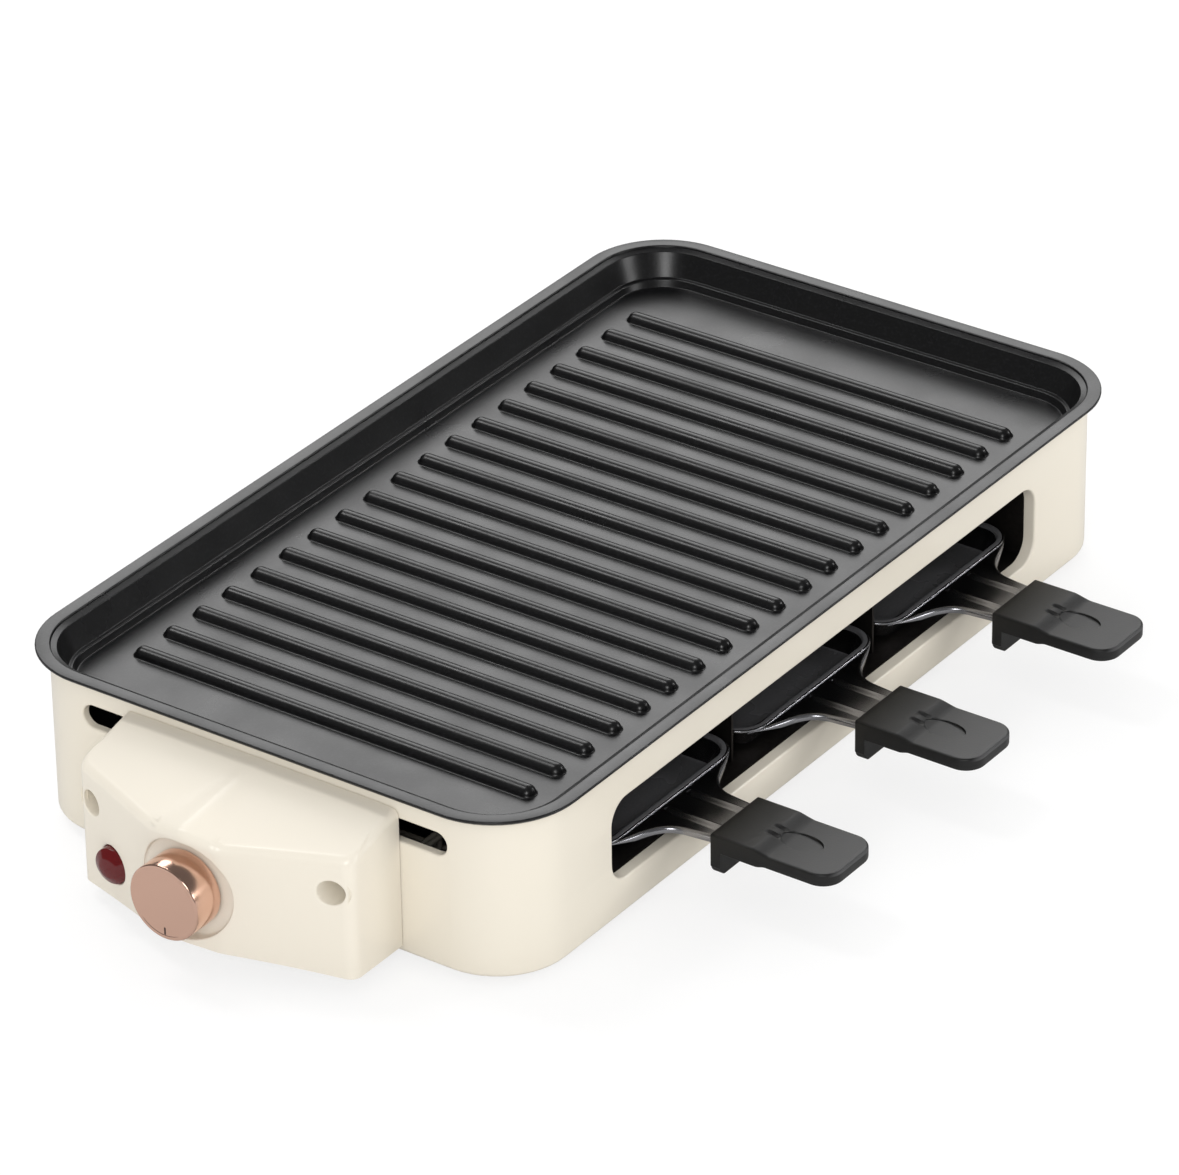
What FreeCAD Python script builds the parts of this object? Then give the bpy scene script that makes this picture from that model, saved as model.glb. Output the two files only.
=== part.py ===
import FreeCAD, Part
import math
import os
import re

import Sketcher
from FreeCAD import Placement, Rotation, Vector

# Electric table grill: a ribbed non-stick plate lifts off a cream enamelled steel housing,
# three small pans slide out of a window in its long side, and a control box with the
# thermostat knob hangs on one short side.
# The grill is drawn about the middle of its housing, with the table at height zero:
# the pans come out towards -Y, the control box stands on the -X end.

# Driving sizes in millimetres
SIZES = {
    # Grill plate
    "plate_length": 450.0,
    "plate_width": 255.6,
    "plate_corner_radius": 37.5,
    "rim_width": 6.2,
    "rim_thickness": 2.0,
    "rim_bevel": 1.0,
    "rim_edge_round": 0.4,
    "step_drop": 1.0,
    "step_width": 2.6,
    "tray_wall_lean": 4.0,
    "shoulder_depth": 12.4,
    "shoulder_width": 1.8,
    "shoulder_lean": 1.0,
    "shoulder_round": 0.8,
    "tray_depth": 15.8,
    "tray_floor": 2.2,
    "tray_foot_inset": 13.0,
    "tray_round": 2.0,
    "rib_radius": 3.8,
    "rib_pitch": 19.25,
    "rib_count": 19.0,
    "rib_length": 196.6,
    # Housing shell
    "foot_gap": 4.0,
    "housing_height": 72.3,
    "rim_overhang": 5.7,
    "housing_wall": 1.4,
    "housing_top_round": 1.2,
    "housing_foot_round": 2.0,
    "seat_gap": 0.3,
    "tray_side_gap": 0.3,
    "bottom_lip": 14.0,
    "window_margin": 69.75,
    "window_bottom": 20.1,
    "window_top": 56.7,
    "window_radius": 10.0,
    "return_depth": 5.4,
    "return_wall": 1.2,
    "slot_outer": 91.0,
    "slot_inner": 50.0,
    "slot_bottom": 55.0,
    "slot_height": 10.1,
    "slot_radius": 5.0,
    "slot_return": 3.6,
    # Base plate, feet and their screws
    "base_thickness": 1.2,
    "base_gap": 0.5,
    "vent_length": 46.0,
    "vent_width": 4.0,
    "vent_radius": 1.9,
    "vent_pitch": 12.0,
    "vent_count": 9.0,
    "foot_diameter": 20.0,
    "foot_taper": 1.5,
    "foot_inset": 32.0,
    "foot_well_diameter": 9.0,
    "foot_well_depth": 2.6,
    "foot_screw_diameter": 3.9,
    "foot_screw_head": 7.6,
    "foot_screw_head_height": 2.0,
    "foot_screw_length": 7.0,
    "base_screw_diameter": 2.9,
    "base_screw_head": 6.0,
    "base_screw_head_height": 1.8,
    "base_screw_length": 7.0,
    "base_screw_x": 110.0,
    "base_screw_y": 40.0,
    "screw_clearance": 0.2,
    # Pan bay, its rails, dividers and stops
    "bay_wall": 1.0,
    "bay_back_room": 14.1,
    "bay_front_gap": 0.4,
    "rail_inset": 55.25,
    "rail_width": 26.0,
    "rail_flange": 8.0,
    "rail_length": 200.0,
    "divider_wall": 1.2,
    "divider_setback": 8.0,
    "stop_width": 40.0,
    "stop_height": 13.0,
    "stop_foot": 10.0,
    "stop_gap": 0.5,
    # Heating element
    "element_diameter": 6.6,
    "element_gap": 4.3,
    "element_run_spacing": 56.0,
    "element_end_gap": 7.25,
    "element_jog_gap": 12.75,
    "element_jog_room": 17.3,
    "element_lead_y": 36.0,
    "element_lead_out": 14.7,
    "element_notch_gap": 0.25,
    "element_hole": 11.0,
    "insulator_diameter": 10.6,
    "insulator_length": 5.0,
    "insulator_flange": 14.0,
    "insulator_flange_thickness": 1.5,
    "insulator_bore_gap": 0.15,
    "terminal_length": 12.0,
    "terminal_width": 6.3,
    "terminal_thickness": 0.8,
    "element_rest_width": 16.0,
    "element_rest_reach": 16.0,
    "element_rest_leg": 12.0,
    # Pans
    "pan_count": 3.0,
    "pan_gap": 4.5,
    "pan_length": 150.0,
    "pan_setback": 7.35,
    "pan_depth": 11.5,
    "pan_lift": 0.3,
    "pan_sheet": 1.0,
    "pan_rim_width": 3.0,
    "pan_lean": 4.0,
    "pan_corner_radius": 14.0,
    "pan_bottom_round": 2.5,
    "tang_root": 1.0,
    "tang_flare": 44.0,
    "tang_shoulder": 30.4,
    "tang_shoulder_out": 4.05,
    "tang_waist": 18.0,
    "tang_waist_out": 11.25,
    "tang_neck": 16.2,
    "tang_neck_out": 18.0,
    "tang_tip": 14.6,
    "tang_tip_out": 27.0,
    "tang_length": 41.25,
    "tang_screw_x": 7.0,
    "tang_rib_x": 7.8,
    "tang_rib_radius": 1.9,
    "tang_rib_sink": 0.7,
    "tang_rib_out": 2.75,
    # Pan handles
    "handle_out": 29.25,
    "handle_length": 56.4,
    "handle_width": 34.0,
    "handle_top": 34.1,
    "handle_root_thickness": 8.2,
    "handle_root_length": 21.0,
    "handle_step": 1.5,
    "handle_step_length": 5.0,
    "handle_grip_thickness": 5.6,
    "handle_skirt_thickness": 5.0,
    "handle_skirt_depth": 18.3,
    "handle_tip_radius": 9.0,
    "handle_edge_round": 0.9,
    "tang_slot_gap": 0.15,
    "skirt_corner_radius": 3.0,
    "thumb_width": 10.0,
    "thumb_out": 16.0,
    "thumb_length": 28.0,
    "thumb_depth": 0.7,
    "thumb_radius": 4.9,
    "handle_screw_diameter": 3.0,
    "handle_screw_head": 6.2,
    "handle_screw_head_height": 1.6,
    "handle_screw_out": 8.6,
    "handle_screw_length": 7.2,
    # Control box cover
    "box_half_width": 67.0,
    "box_nose_half_width": 16.0,
    "box_back_gap": 0.3,
    "box_wing_reach": 31.0,
    "box_nose_reach": 50.1,
    "box_peak_reach": 53.0,
    "box_roof_height": 75.7,
    "box_wing_crease": 61.6,
    "box_nose_crease": 60.2,
    "box_peak_crease": 63.2,
    "box_wing_bottom": 7.4,
    "box_nose_bottom": 12.0,
    "box_peak_bottom": 13.4,
    "box_wall": 2.2,
    "box_roof_drop": 0.8,
    "box_corner_round": 6.0,
    "box_top_round": 3.5,
    "box_floor_height": 14.0,
    "box_floor_thickness": 1.5,
    "box_floor_gap": 0.4,
    # Knob, its dish and the thermostat
    "knob_axis_height": 36.6,
    "dish_plane": 47.3,
    "dish_diameter": 43.4,
    "dish_wall": 2.3,
    "shaft_hole": 9.0,
    "knob_diameter": 33.0,
    "knob_length": 15.3,
    "knob_gap": 1.0,
    "knob_wall": 1.2,
    "knob_edge": 0.7,
    "knob_mark_length": 5.0,
    "knob_mark_width": 0.9,
    "knob_mark_depth": 0.3,
    "knob_hub_gap": 0.05,
    "knob_hub_inset": 2.0,
    "shaft_diameter": 6.0,
    "shaft_flat": 1.5,
    "shaft_flat_length": 11.0,
    "shaft_end": 12.5,
    "shaft_seat": 2.0,
    "shaft_running_gap": 0.08,
    "thermostat_width": 34.0,
    "thermostat_height": 30.0,
    "thermostat_depth": 17.0,
    "thermostat_neck": 10.0,
    "thermostat_neck_length": 8.0,
    "thermostat_nut": 14.0,
    "thermostat_nut_height": 3.0,
    "bracket_reach": 24.0,
    "bracket_wall": 1.5,
    "bracket_half_width": 26.0,
    "bracket_foot": 12.0,
    "bracket_half_height": 9.0,
    "bracket_screw_diameter": 2.9,
    "bracket_screw_y": 32.0,
    "bracket_screw_rise": 5.0,
    # Screws of the control box and the bracket
    "box_screw_y": 58.7,
    "box_screw_height": 46.3,
    "box_screw_well": 10.8,
    "box_post_diameter": 14.4,
    "box_post_floor": 8.0,
    "box_screw_diameter": 3.9,
    "box_screw_head": 7.6,
    "box_screw_head_height": 2.6,
    "box_screw_length": 14.0,
    "bracket_screw_head": 6.6,
    "bracket_screw_head_height": 2.2,
    "bracket_screw_length": 7.0,
    # Pilot lamp
    "lamp_y": 44.4,
    "lamp_height": 25.7,
    "lamp_diameter": 15.7,
    "lamp_hole_gap": 0.15,
    "lamp_front": 41.0,
    "lamp_dome": 3.4,
    "lamp_back": 30.0,
    "lamp_wall": 1.4,
    "lamp_bulb_diameter": 6.0,
    "lamp_bulb_length": 6.0,
    "lamp_socket_length": 17.0,
    "lamp_socket_grip": 3.0,
    # Power inlet, terminal block and wiring
    "inlet_inset": 47.3,
    "inlet_height": 38.0,
    "inlet_flange_width": 24.0,
    "inlet_flange_height": 31.0,
    "inlet_flange_thickness": 1.8,
    "inlet_body_width": 20.0,
    "inlet_body_height": 27.4,
    "inlet_body_depth": 19.0,
    "inlet_gap": 0.2,
    "inlet_wall": 1.8,
    "pin_length": 18.0,
    "pin_gap": 0.1,
    "pin_width": 2.0,
    "pin_height": 4.0,
    "pin_spacing": 7.0,
    "pin_offset": 2.0,
    "pin_tab_length": 7.0,
    "block_width": 16.0,
    "block_length": 36.0,
    "block_height": 15.0,
    "block_lane": 10.5,
    "block_y": 52.0,
    "block_bore": 4.0,
    "block_screw_bore": 3.2,
    "block_pole_pitch": 11.0,
    "fuse_diameter": 5.0,
    "fuse_length": 18.0,
    "fuse_gap": 0.25,
    "grommet_y": 47.0,
    "grommet_height": 24.5,
    "grommet_hole": 12.0,
    "grommet_bore": 7.0,
    "grommet_lip": 1.6,
    "grommet_groove_gap": 0.1,
    "wire_diameter": 2.2,
    "inlet_wire_reach": 20.0,
    "mains_lane_gap": 9.25,
    "mains_lane_step": 4.0,
    "mains_wire_spread": 1.4,
    "mains_wire_out": 20.7,
    "element_wire_y": 28.0,
    "lamp_wire_out": 17.7,
    "wire_bend": 4.5,
    # Spare depth that carries a cut clear through its sheet
    "cut_margin": 1.0,
}

# Sizes that follow from the driving ones
DERIVED = {
    "half_length": "plate_length / 2 - rim_overhang",
    "half_width": "plate_width / 2 - rim_overhang",
    "housing_top": "foot_gap + housing_height",
    "rim_bottom": "housing_top + seat_gap",
    "rim_top": "rim_bottom + rim_thickness",
    "tray_bottom": "rim_top - tray_depth - tray_floor",
    "tray_outer_inset": "rim_overhang + housing_wall + tray_side_gap",
    "tray_inner_inset": "rim_width + step_width",
    "shoulder_inset": "tray_inner_inset + tray_wall_lean",
    "floor_inset": "shoulder_inset + shoulder_width",
    "base_bottom": "foot_gap + housing_wall",
    "base_top": "base_bottom + base_thickness",
    "window_length": "plate_length - window_margin * 2",
    "bay_half_length": "window_length / 2",
    "pan_pitch": "window_length / pan_count",
    "pan_width": "pan_pitch - pan_gap",
    "rail_x": "bay_half_length - rail_inset",
    "element_end": "bay_half_length - element_end_gap",
    "element_jog_start": "bay_half_length + element_jog_gap",
    "element_jog_end": "half_length - element_jog_room",
    "inlet_x": "half_length - inlet_inset",
    "mains_lane": "bay_half_length + bay_wall + mains_lane_gap",
    "bay_floor": "window_bottom + 0.1",
    "bay_front": "half_width - return_depth - bay_front_gap",
    "bay_back": "half_width - bay_back_room",
    "element_height": "tray_bottom - element_gap - element_diameter / 2",
    "pan_front": "half_width - pan_setback",
    "tang_end": "pan_front + tang_length",
    "handle_root": "pan_front + handle_out",
    "handle_screw_y": "handle_root + handle_screw_out",
    "thumb_start": "handle_root + thumb_out",
    "block_x": "mains_lane + block_lane",
    "pan_rim_top": "bay_floor + pan_lift + pan_depth",
    "knob_back": "half_length + dish_plane + knob_gap",
    "knob_front": "knob_back + knob_length",
    "shaft_tip": "knob_back + shaft_end",
    "lens_radius": "(lamp_diameter ^ 2 / 4 + lamp_dome ^ 2) / (2 * lamp_dome)",
    "handle_tip": "handle_root + handle_length",
    "handle_grip_top": "handle_top - handle_step",
    "handle_root_bottom": "handle_top - handle_root_thickness",
    "insulator_front": "half_length + insulator_flange_thickness",
    "element_tip": "half_length + element_lead_out",
    "shift_x": "(knob_front - plate_length / 2) / 2",
    "shift_y": "(handle_tip - plate_width / 2) / 2",
}

doc = FreeCAD.newDocument("electric_grill")
sizes = doc.addObject("Spreadsheet::Sheet", "sizes")
nodes = []


def fill_sheet():
    """Write every size on its own row, with its name as the alias."""
    row = 1
    for name, value in list(SIZES.items()) + list(DERIVED.items()):
        text = str(value) if name in SIZES else "=" + value
        sizes.set(f"A{row}", name)
        sizes.set(f"B{row}", text)
        sizes.setAlias(f"B{row}", name)
        row += 1
    doc.recompute()


def number(formula):
    """Return what a formula of size names is worth now."""
    return float(sizes.evalExpression(formula))


def tie(item, path, formula):
    """Bind a property to a formula of size names."""
    named = re.sub(
        r"[a-z][a-z_]*",
        lambda word: "sizes." + word[0] if word[0] in SIZES or word[0] in DERIVED else word[0],
        formula,
    )
    item.setExpression(path, named)


def finish(item, label, x="0", y="0"):
    """Name a finished piece and set it in the grill's frame."""
    item.Label = label
    tie(item, "Placement.Base.x", f"shift_x + ({x})")
    tie(item, "Placement.Base.y", f"shift_y + ({y})")
    nodes.append(item)
    return item


# Sketches


def new_body(name):
    return doc.addObject("PartDesign::Body", name)


def sketch_on(body, plane, offset="0", up="0"):
    """Start a sketch parallel to one of the body's own planes.

    The offset runs along +Z for XY_Plane, along -Y for XZ_Plane and along +X for YZ_Plane.
    The sketch's own origin can also be moved up within its plane.
    """
    sketch = body.newObject("Sketcher::SketchObject", body.Name + "_sketch")
    support = next(f for f in body.Origin.OriginFeatures if f.Role == plane)
    sketch.AttachmentSupport = [(support, "")]
    sketch.MapMode = "FlatFace"
    tie(sketch, "AttachmentOffset.Base.z", offset)
    tie(sketch, "AttachmentOffset.Base.y", up)
    return sketch


def dimension(sketch, constraint, formula):
    index = sketch.addConstraint(constraint)
    tie(sketch, f"Constraints[{index}]", formula)


def place_point(sketch, line, end, x, y):
    """Tie one end of a line to a distance from the sketch's origin."""
    dimension(sketch, Sketcher.Constraint("DistanceX", -1, 1, line, end, number(x)), x)
    dimension(sketch, Sketcher.Constraint("DistanceY", -1, 1, line, end, number(y)), y)


def polygon(sketch, corners):
    """Draw a closed outline of straight lines through corners given as formulas."""
    first = sketch.GeometryCount
    count = len(corners)
    points = [Vector(number(x), number(y), 0) for x, y in corners]
    for i in range(count):
        sketch.addGeometry(Part.LineSegment(points[i], points[(i + 1) % count]))
    for i in range(count):
        following = first + (i + 1) % count
        sketch.addConstraint(Sketcher.Constraint("Coincident", first + i, 2, following, 1))
    for i, (x, y) in enumerate(corners):
        place_point(sketch, first + i, 1, x, y)


def rectangle(sketch, left, bottom, right, top):
    polygon(sketch, [(left, bottom), (right, bottom), (right, top), (left, top)])


def rounded_rectangle(sketch, left, bottom, right, top, radius):
    """Draw a rectangle whose four corners are tangent arcs of one radius."""
    x0, y0, x1, y1, r = (number(f) for f in (left, bottom, right, top, radius))
    line = sketch.GeometryCount
    ends = [
        ((x0 + r, y0), (x1 - r, y0)),
        ((x1, y0 + r), (x1, y1 - r)),
        ((x1 - r, y1), (x0 + r, y1)),
        ((x0, y1 - r), (x0, y0 + r)),
    ]
    centres = [(x1 - r, y0 + r), (x1 - r, y1 - r), (x0 + r, y1 - r), (x0 + r, y0 + r)]
    for start, end in ends:
        sketch.addGeometry(Part.LineSegment(Vector(*start, 0), Vector(*end, 0)))
    for i, centre in enumerate(centres):
        corner = Part.Circle(Vector(*centre, 0), Vector(0, 0, 1), r)
        start = math.radians(90 * i - 90)
        sketch.addGeometry(Part.ArcOfCircle(corner, start, start + math.pi / 2))
    for i in range(4):
        arc = line + 4 + i
        sketch.addConstraint(Sketcher.Constraint("Tangent", line + i, 2, arc, 1))
        sketch.addConstraint(Sketcher.Constraint("Tangent", arc, 2, line + (i + 1) % 4, 1))
        flow = "Horizontal" if i % 2 == 0 else "Vertical"
        sketch.addConstraint(Sketcher.Constraint(flow, line + i))
        if i:
            sketch.addConstraint(Sketcher.Constraint("Equal", line + 4, arc))
    dimension(sketch, Sketcher.Constraint("Radius", line + 4, r), radius)
    sides = [("DistanceY", 0, y0, bottom), ("DistanceX", 1, x1, right)]
    sides += [("DistanceY", 2, y1, top), ("DistanceX", 3, x0, left)]
    for kind, side, value, formula in sides:
        dimension(sketch, Sketcher.Constraint(kind, -1, 1, line + side, 1, value), formula)


def inset_outline(sketch, inset):
    """Draw the plan of the grill plate's rim, moved inwards by an inset."""
    x = f"plate_length / 2 - ({inset})"
    y = f"plate_width / 2 - ({inset})"
    rounded_rectangle(sketch, f"-({x})", f"-({y})", x, y, f"plate_corner_radius - ({inset})")


def circle(sketch, x, y, diameter):
    ring = Part.Circle(Vector(number(x), number(y), 0), Vector(0, 0, 1), number(diameter) / 2)
    index = sketch.addGeometry(ring)
    place_point(sketch, index, 3, x, y)
    dimension(sketch, Sketcher.Constraint("Diameter", index, number(diameter)), diameter)


def half_capsule(sketch, length, radius, middle="0"):
    """Draw the upper half of a bar with ball ends, lying on the sketch's own X axis."""
    half, r, m = number(f"({length}) / 2"), number(radius), number(middle)
    top = sketch.GeometryCount
    right, base, left = top + 1, top + 2, top + 3
    right_ball = Part.Circle(Vector(m + half - r, 0, 0), Vector(0, 0, 1), r)
    left_ball = Part.Circle(Vector(m - half + r, 0, 0), Vector(0, 0, 1), r)
    sketch.addGeometry(Part.LineSegment(Vector(m - half + r, r, 0), Vector(m + half - r, r, 0)))
    sketch.addGeometry(Part.ArcOfCircle(right_ball, 0, math.pi / 2))
    sketch.addGeometry(Part.LineSegment(Vector(m + half, 0, 0), Vector(m - half, 0, 0)))
    sketch.addGeometry(Part.ArcOfCircle(left_ball, math.pi / 2, math.pi))
    sketch.addConstraint(Sketcher.Constraint("Tangent", top, 2, right, 2))
    sketch.addConstraint(Sketcher.Constraint("Tangent", left, 1, top, 1))
    sketch.addConstraint(Sketcher.Constraint("Coincident", right, 1, base, 1))
    sketch.addConstraint(Sketcher.Constraint("Coincident", base, 2, left, 2))
    sketch.addConstraint(Sketcher.Constraint("Equal", right, left))
    for arc, end in ((right, 3), (left, 3), (base, 1), (base, 2)):
        sketch.addConstraint(Sketcher.Constraint("PointOnObject", arc, end, -1))
    dimension(sketch, Sketcher.Constraint("Radius", right, r), radius)
    reach = f"({length}) / 2 - ({radius})"
    for arc, sign in ((right, ""), (left, "-")):
        place = f"{middle} + {sign}({reach})"
        dimension(sketch, Sketcher.Constraint("DistanceX", -1, 1, arc, 3, number(place)), place)


# Features


def extrude(body, kind, sketch, length, reverse=False, both_ways=False):
    """Pad or pocket a sketch along its plane's own direction, or back along it."""
    feature = body.newObject("PartDesign::" + kind, body.Name + "_" + kind.lower())
    feature.Profile = sketch
    tie(feature, "Length", length)
    feature.Reversed = reverse
    if both_ways:
        feature.SideType = "Symmetric"
    return feature


def loft(body, kind, sketches):
    feature = body.newObject("PartDesign::" + kind, body.Name + "_loft")
    feature.Profile = sketches[0]
    feature.Sections = sketches[1:]
    feature.Ruled = True
    return feature


def revolve(body, kind, sketch, axis, angle=360):
    """Turn a sketch about one of its own axes."""
    feature = body.newObject("PartDesign::" + kind, body.Name + "_" + kind.lower())
    feature.Profile = sketch
    feature.ReferenceAxis = (sketch, [axis])
    feature.Angle = angle
    if angle < 360:
        feature.Midplane = True
    return feature


def row_of(body, feature, axis, count, pitch):
    """Repeat a feature along one of the body's own axes at a steady pitch."""
    pattern = body.newObject("PartDesign::LinearPattern", body.Name + "_row")
    pattern.Originals = [feature]
    direction = next(f for f in body.Origin.OriginFeatures if f.Role == axis)
    pattern.Direction = (direction, [""])
    pattern.Mode = "Spacing"
    tie(pattern, "Occurrences", count)
    tie(pattern, "Offset", pitch)
    body.Tip = pattern
    return pattern


def round_edges(body, radius, wanted):
    """Fillet those edges of the body that the test picks."""
    doc.recompute()
    base = body.Tip
    picked = [f"Edge{i + 1}" for i, edge in enumerate(base.Shape.Edges) if wanted(edge)]
    feature = body.newObject("PartDesign::Fillet", body.Name + "_fillet")
    feature.Base = (base, picked)
    tie(feature, "Radius", radius)
    return feature


def bevel_edges(body, size, wanted):
    """Chamfer those edges of the body that the test picks."""
    doc.recompute()
    base = body.Tip
    picked = [f"Edge{i + 1}" for i, edge in enumerate(base.Shape.Edges) if wanted(edge)]
    feature = body.newObject("PartDesign::Chamfer", body.Name + "_chamfer")
    feature.Base = (base, picked)
    tie(feature, "Size", size)
    return feature


def drill(body, plane, offset, places, diameter, depth, reverse=False):
    """Pocket a set of round holes of one diameter."""
    sketch = sketch_on(body, plane, offset)
    for x, y in places:
        circle(sketch, x, y, diameter)
    return extrude(body, "Pocket", sketch, depth, reverse)


def turned(name, profile):
    """Turn an outline of radius and height about the body's upright axis."""
    body = new_body(name)
    sketch = sketch_on(body, "XZ_Plane")
    polygon(sketch, profile)
    revolve(body, "Revolution", sketch, "V_Axis")
    return body


def set_at(item, x, y, z, axis=(0, 0, 1)):
    """Stand a piece made along +Z at a place, pointing along an axis."""
    item.Placement.Rotation = Rotation(Vector(0, 0, 1), Vector(*axis))
    for letter, formula in zip("xyz", (x, y, z)):
        tie(item, f"Placement.Base.{letter}", formula)
    return item


def screw(name, head, head_height, shank, length):
    """Make a pan-head screw: its head below height zero, its shank above it."""
    profile = [
        ("0", f"-({head_height})"),
        (f"{head} / 2", f"-({head_height})"),
        (f"{head} / 2", "0"),
        (f"{shank} / 2", "0"),
        (f"{shank} / 2", length),
        ("0", length),
    ]
    return turned(name, profile)


def level_edges(height):
    """Pick the edges that lie all at one height."""
    z = number(height)

    def wanted(edge):
        box = edge.BoundBox
        return abs(box.ZMin - z) < 0.01 and abs(box.ZMax - z) < 0.01

    return wanted


def upright_edges(edge):
    box = edge.BoundBox
    return box.ZLength > 0.5 and box.XLength < 0.01 and box.YLength < 0.01


def cut(base, tool, name):
    result = doc.addObject("Part::Cut", name)
    result.Base = base
    result.Tool = tool
    return result


def cylinder(name, diameter, length, base, axis):
    """Make a round bar from a base point, given as formulas, along an axis."""
    bar = doc.addObject("Part::Cylinder", name)
    tie(bar, "Radius", f"({diameter}) / 2")
    tie(bar, "Height", length)
    bar.Placement.Rotation = Rotation(Vector(0, 0, 1), Vector(*axis))
    for letter, formula in zip("xyz", base):
        tie(bar, f"Placement.Base.{letter}", formula)
    return bar


def block(name, low, size):
    """Make a box from its lowest corner and its size, all given as formulas."""
    item = doc.addObject("Part::Box", name)
    for side, formula in zip(("Length", "Width", "Height"), size):
        tie(item, side, formula)
    for letter, formula in zip("xyz", low):
        tie(item, f"Placement.Base.{letter}", formula)
    return item


def fuse(items, name):
    result = doc.addObject("Part::MultiFuse", name)
    result.Shapes = items
    return result


def group(items, label):
    """Hold like pieces as separate solids in one node."""
    result = doc.addObject("Part::Compound", label)
    result.Links = items
    return finish(result, label)


def tube(name, points, bend, diameter):
    """Sweep a round bar along straight runs joined by tangent arcs."""
    edges = []
    start = points[0]
    for i in range(1, len(points) - 1):
        before, corner, after = points[i - 1], points[i], points[i + 1]
        inwards = (before - corner).normalize()
        outwards = (after - corner).normalize()
        turn = math.pi - inwards.getAngle(outwards)
        trim = bend * math.tan(turn / 2)
        first = corner + inwards * trim
        last = corner + outwards * trim
        middle_way = (inwards + outwards).normalize()
        middle = corner + middle_way * (bend / math.cos(turn / 2) - bend)
        if (first - start).Length > 1e-6:
            edges.append(Part.LineSegment(start, first).toShape())
        edges.append(Part.Arc(first, middle, last).toShape())
        start = last
    edges.append(Part.LineSegment(start, points[-1]).toShape())
    path = Part.Wire(edges)
    heading = (points[1] - points[0]).normalize()
    ring = Part.Wire(Part.Circle(points[0], heading, diameter / 2).toShape())
    item = doc.addObject("Part::Feature", name)
    item.Shape = path.makePipeShell([ring], True, False)
    return item


def at(x, y, z):
    return Vector(number(x), number(y), number(z))


def mirrored(place):
    """Give a place and its mirror image across the grill's long middle line."""
    y, z = place
    return [(y, z), (f"-({y})", z)]


# Grill plate


def make_grill_plate():
    """Flat rim that rests on the housing, a tray sunk below it, and its raised ribs."""
    body = new_body("grill_plate")
    rim = sketch_on(body, "XY_Plane", "rim_bottom")
    inset_outline(rim, "0")
    extrude(body, "Pad", rim, "rim_thickness")
    bevel_edges(body, "rim_bevel", level_edges("rim_bottom"))
    round_edges(body, "rim_edge_round", level_edges("rim_top"))

    tray_top = sketch_on(body, "XY_Plane", "rim_bottom")
    inset_outline(tray_top, "tray_outer_inset")
    tray_foot = sketch_on(body, "XY_Plane", "tray_bottom")
    inset_outline(tray_foot, "tray_foot_inset")
    loft(body, "AdditiveLoft", [tray_top, tray_foot])
    round_edges(body, "tray_round", level_edges("tray_bottom"))

    step = sketch_on(body, "XY_Plane", "rim_top")
    inset_outline(step, "rim_width")
    extrude(body, "Pocket", step, "step_drop")

    levels = [
        ("rim_top - step_drop", "tray_inner_inset"),
        ("rim_top - shoulder_depth", "shoulder_inset"),
        ("rim_top - shoulder_depth", "floor_inset"),
        ("rim_top - tray_depth", "floor_inset + shoulder_lean"),
    ]
    outlines = []
    for height, inset in levels:
        outline = sketch_on(body, "XY_Plane", height)
        inset_outline(outline, inset)
        outlines.append(outline)
    loft(body, "SubtractiveLoft", outlines[:2])
    loft(body, "SubtractiveLoft", outlines[2:])
    round_edges(body, "shoulder_round", level_edges("rim_top - shoulder_depth"))

    first_rib = "-rib_pitch * (rib_count - 1) / 2"
    rib = sketch_on(body, "YZ_Plane", first_rib, "rim_top - tray_depth")
    half_capsule(rib, "rib_length", "rib_radius")
    ribbed = revolve(body, "Revolution", rib, "H_Axis", 180)
    row_of(body, ribbed, "X_Axis", "rib_count", "rib_pitch")
    finish(body, "grill_plate")


# Housing


def make_window(body):
    """Rounded window for the pans, its edge turned inwards all round."""
    inner = "half_width - housing_wall"
    edges = ("-window_length / 2", "window_bottom", "window_length / 2", "window_top")
    wider = [f"{edge} {sign} return_wall" for edge, sign in zip(edges, "--++")]
    frame = sketch_on(body, "XZ_Plane", inner)
    rounded_rectangle(frame, *wider, "window_radius + return_wall")
    extrude(body, "Pad", frame, "return_depth - housing_wall", reverse=True)
    window = sketch_on(body, "XZ_Plane", "half_width")
    rounded_rectangle(window, *edges, "window_radius")
    extrude(body, "Pocket", window, "return_depth")


def make_end_slots(body, side, inwards):
    """Pair of vent slots high in one end wall, their edges turned inwards."""
    slot = ("slot_inner", "slot_bottom", "slot_outer", "slot_bottom + slot_height")
    both = [slot, ("-slot_outer", slot[1], "-slot_inner", slot[3])]
    frames = sketch_on(body, "YZ_Plane", f"{side}(half_length - housing_wall)")
    for edges in both:
        wider = [f"{edge} {sign} return_wall" for edge, sign in zip(edges, "--++")]
        rounded_rectangle(frames, *wider, "slot_radius + return_wall")
    extrude(body, "Pad", frames, "slot_return - housing_wall", reverse=inwards)
    slots = sketch_on(body, "YZ_Plane", f"{side}half_length")
    for edges in both:
        rounded_rectangle(slots, *edges, "slot_radius")
    extrude(body, "Pocket", slots, "slot_return", reverse=not inwards)


def base_screw_places():
    """Eight places in the housing's bottom lip, given as formulas in plan."""
    middle = "(housing_wall + bottom_lip) / 2"
    along = [(x, y) for x in ("-base_screw_x", "base_screw_x")
             for y in (f"-(half_width - {middle})", f"half_width - {middle}")]
    across = [(x, y) for x in (f"-(half_length - {middle})", f"half_length - {middle}")
              for y in ("-base_screw_y", "base_screw_y")]
    return along + across


def foot_places():
    return [(x, y) for x in ("-(half_length - foot_inset)", "half_length - foot_inset")
            for y in ("-(half_width - foot_inset)", "half_width - foot_inset")]


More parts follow.
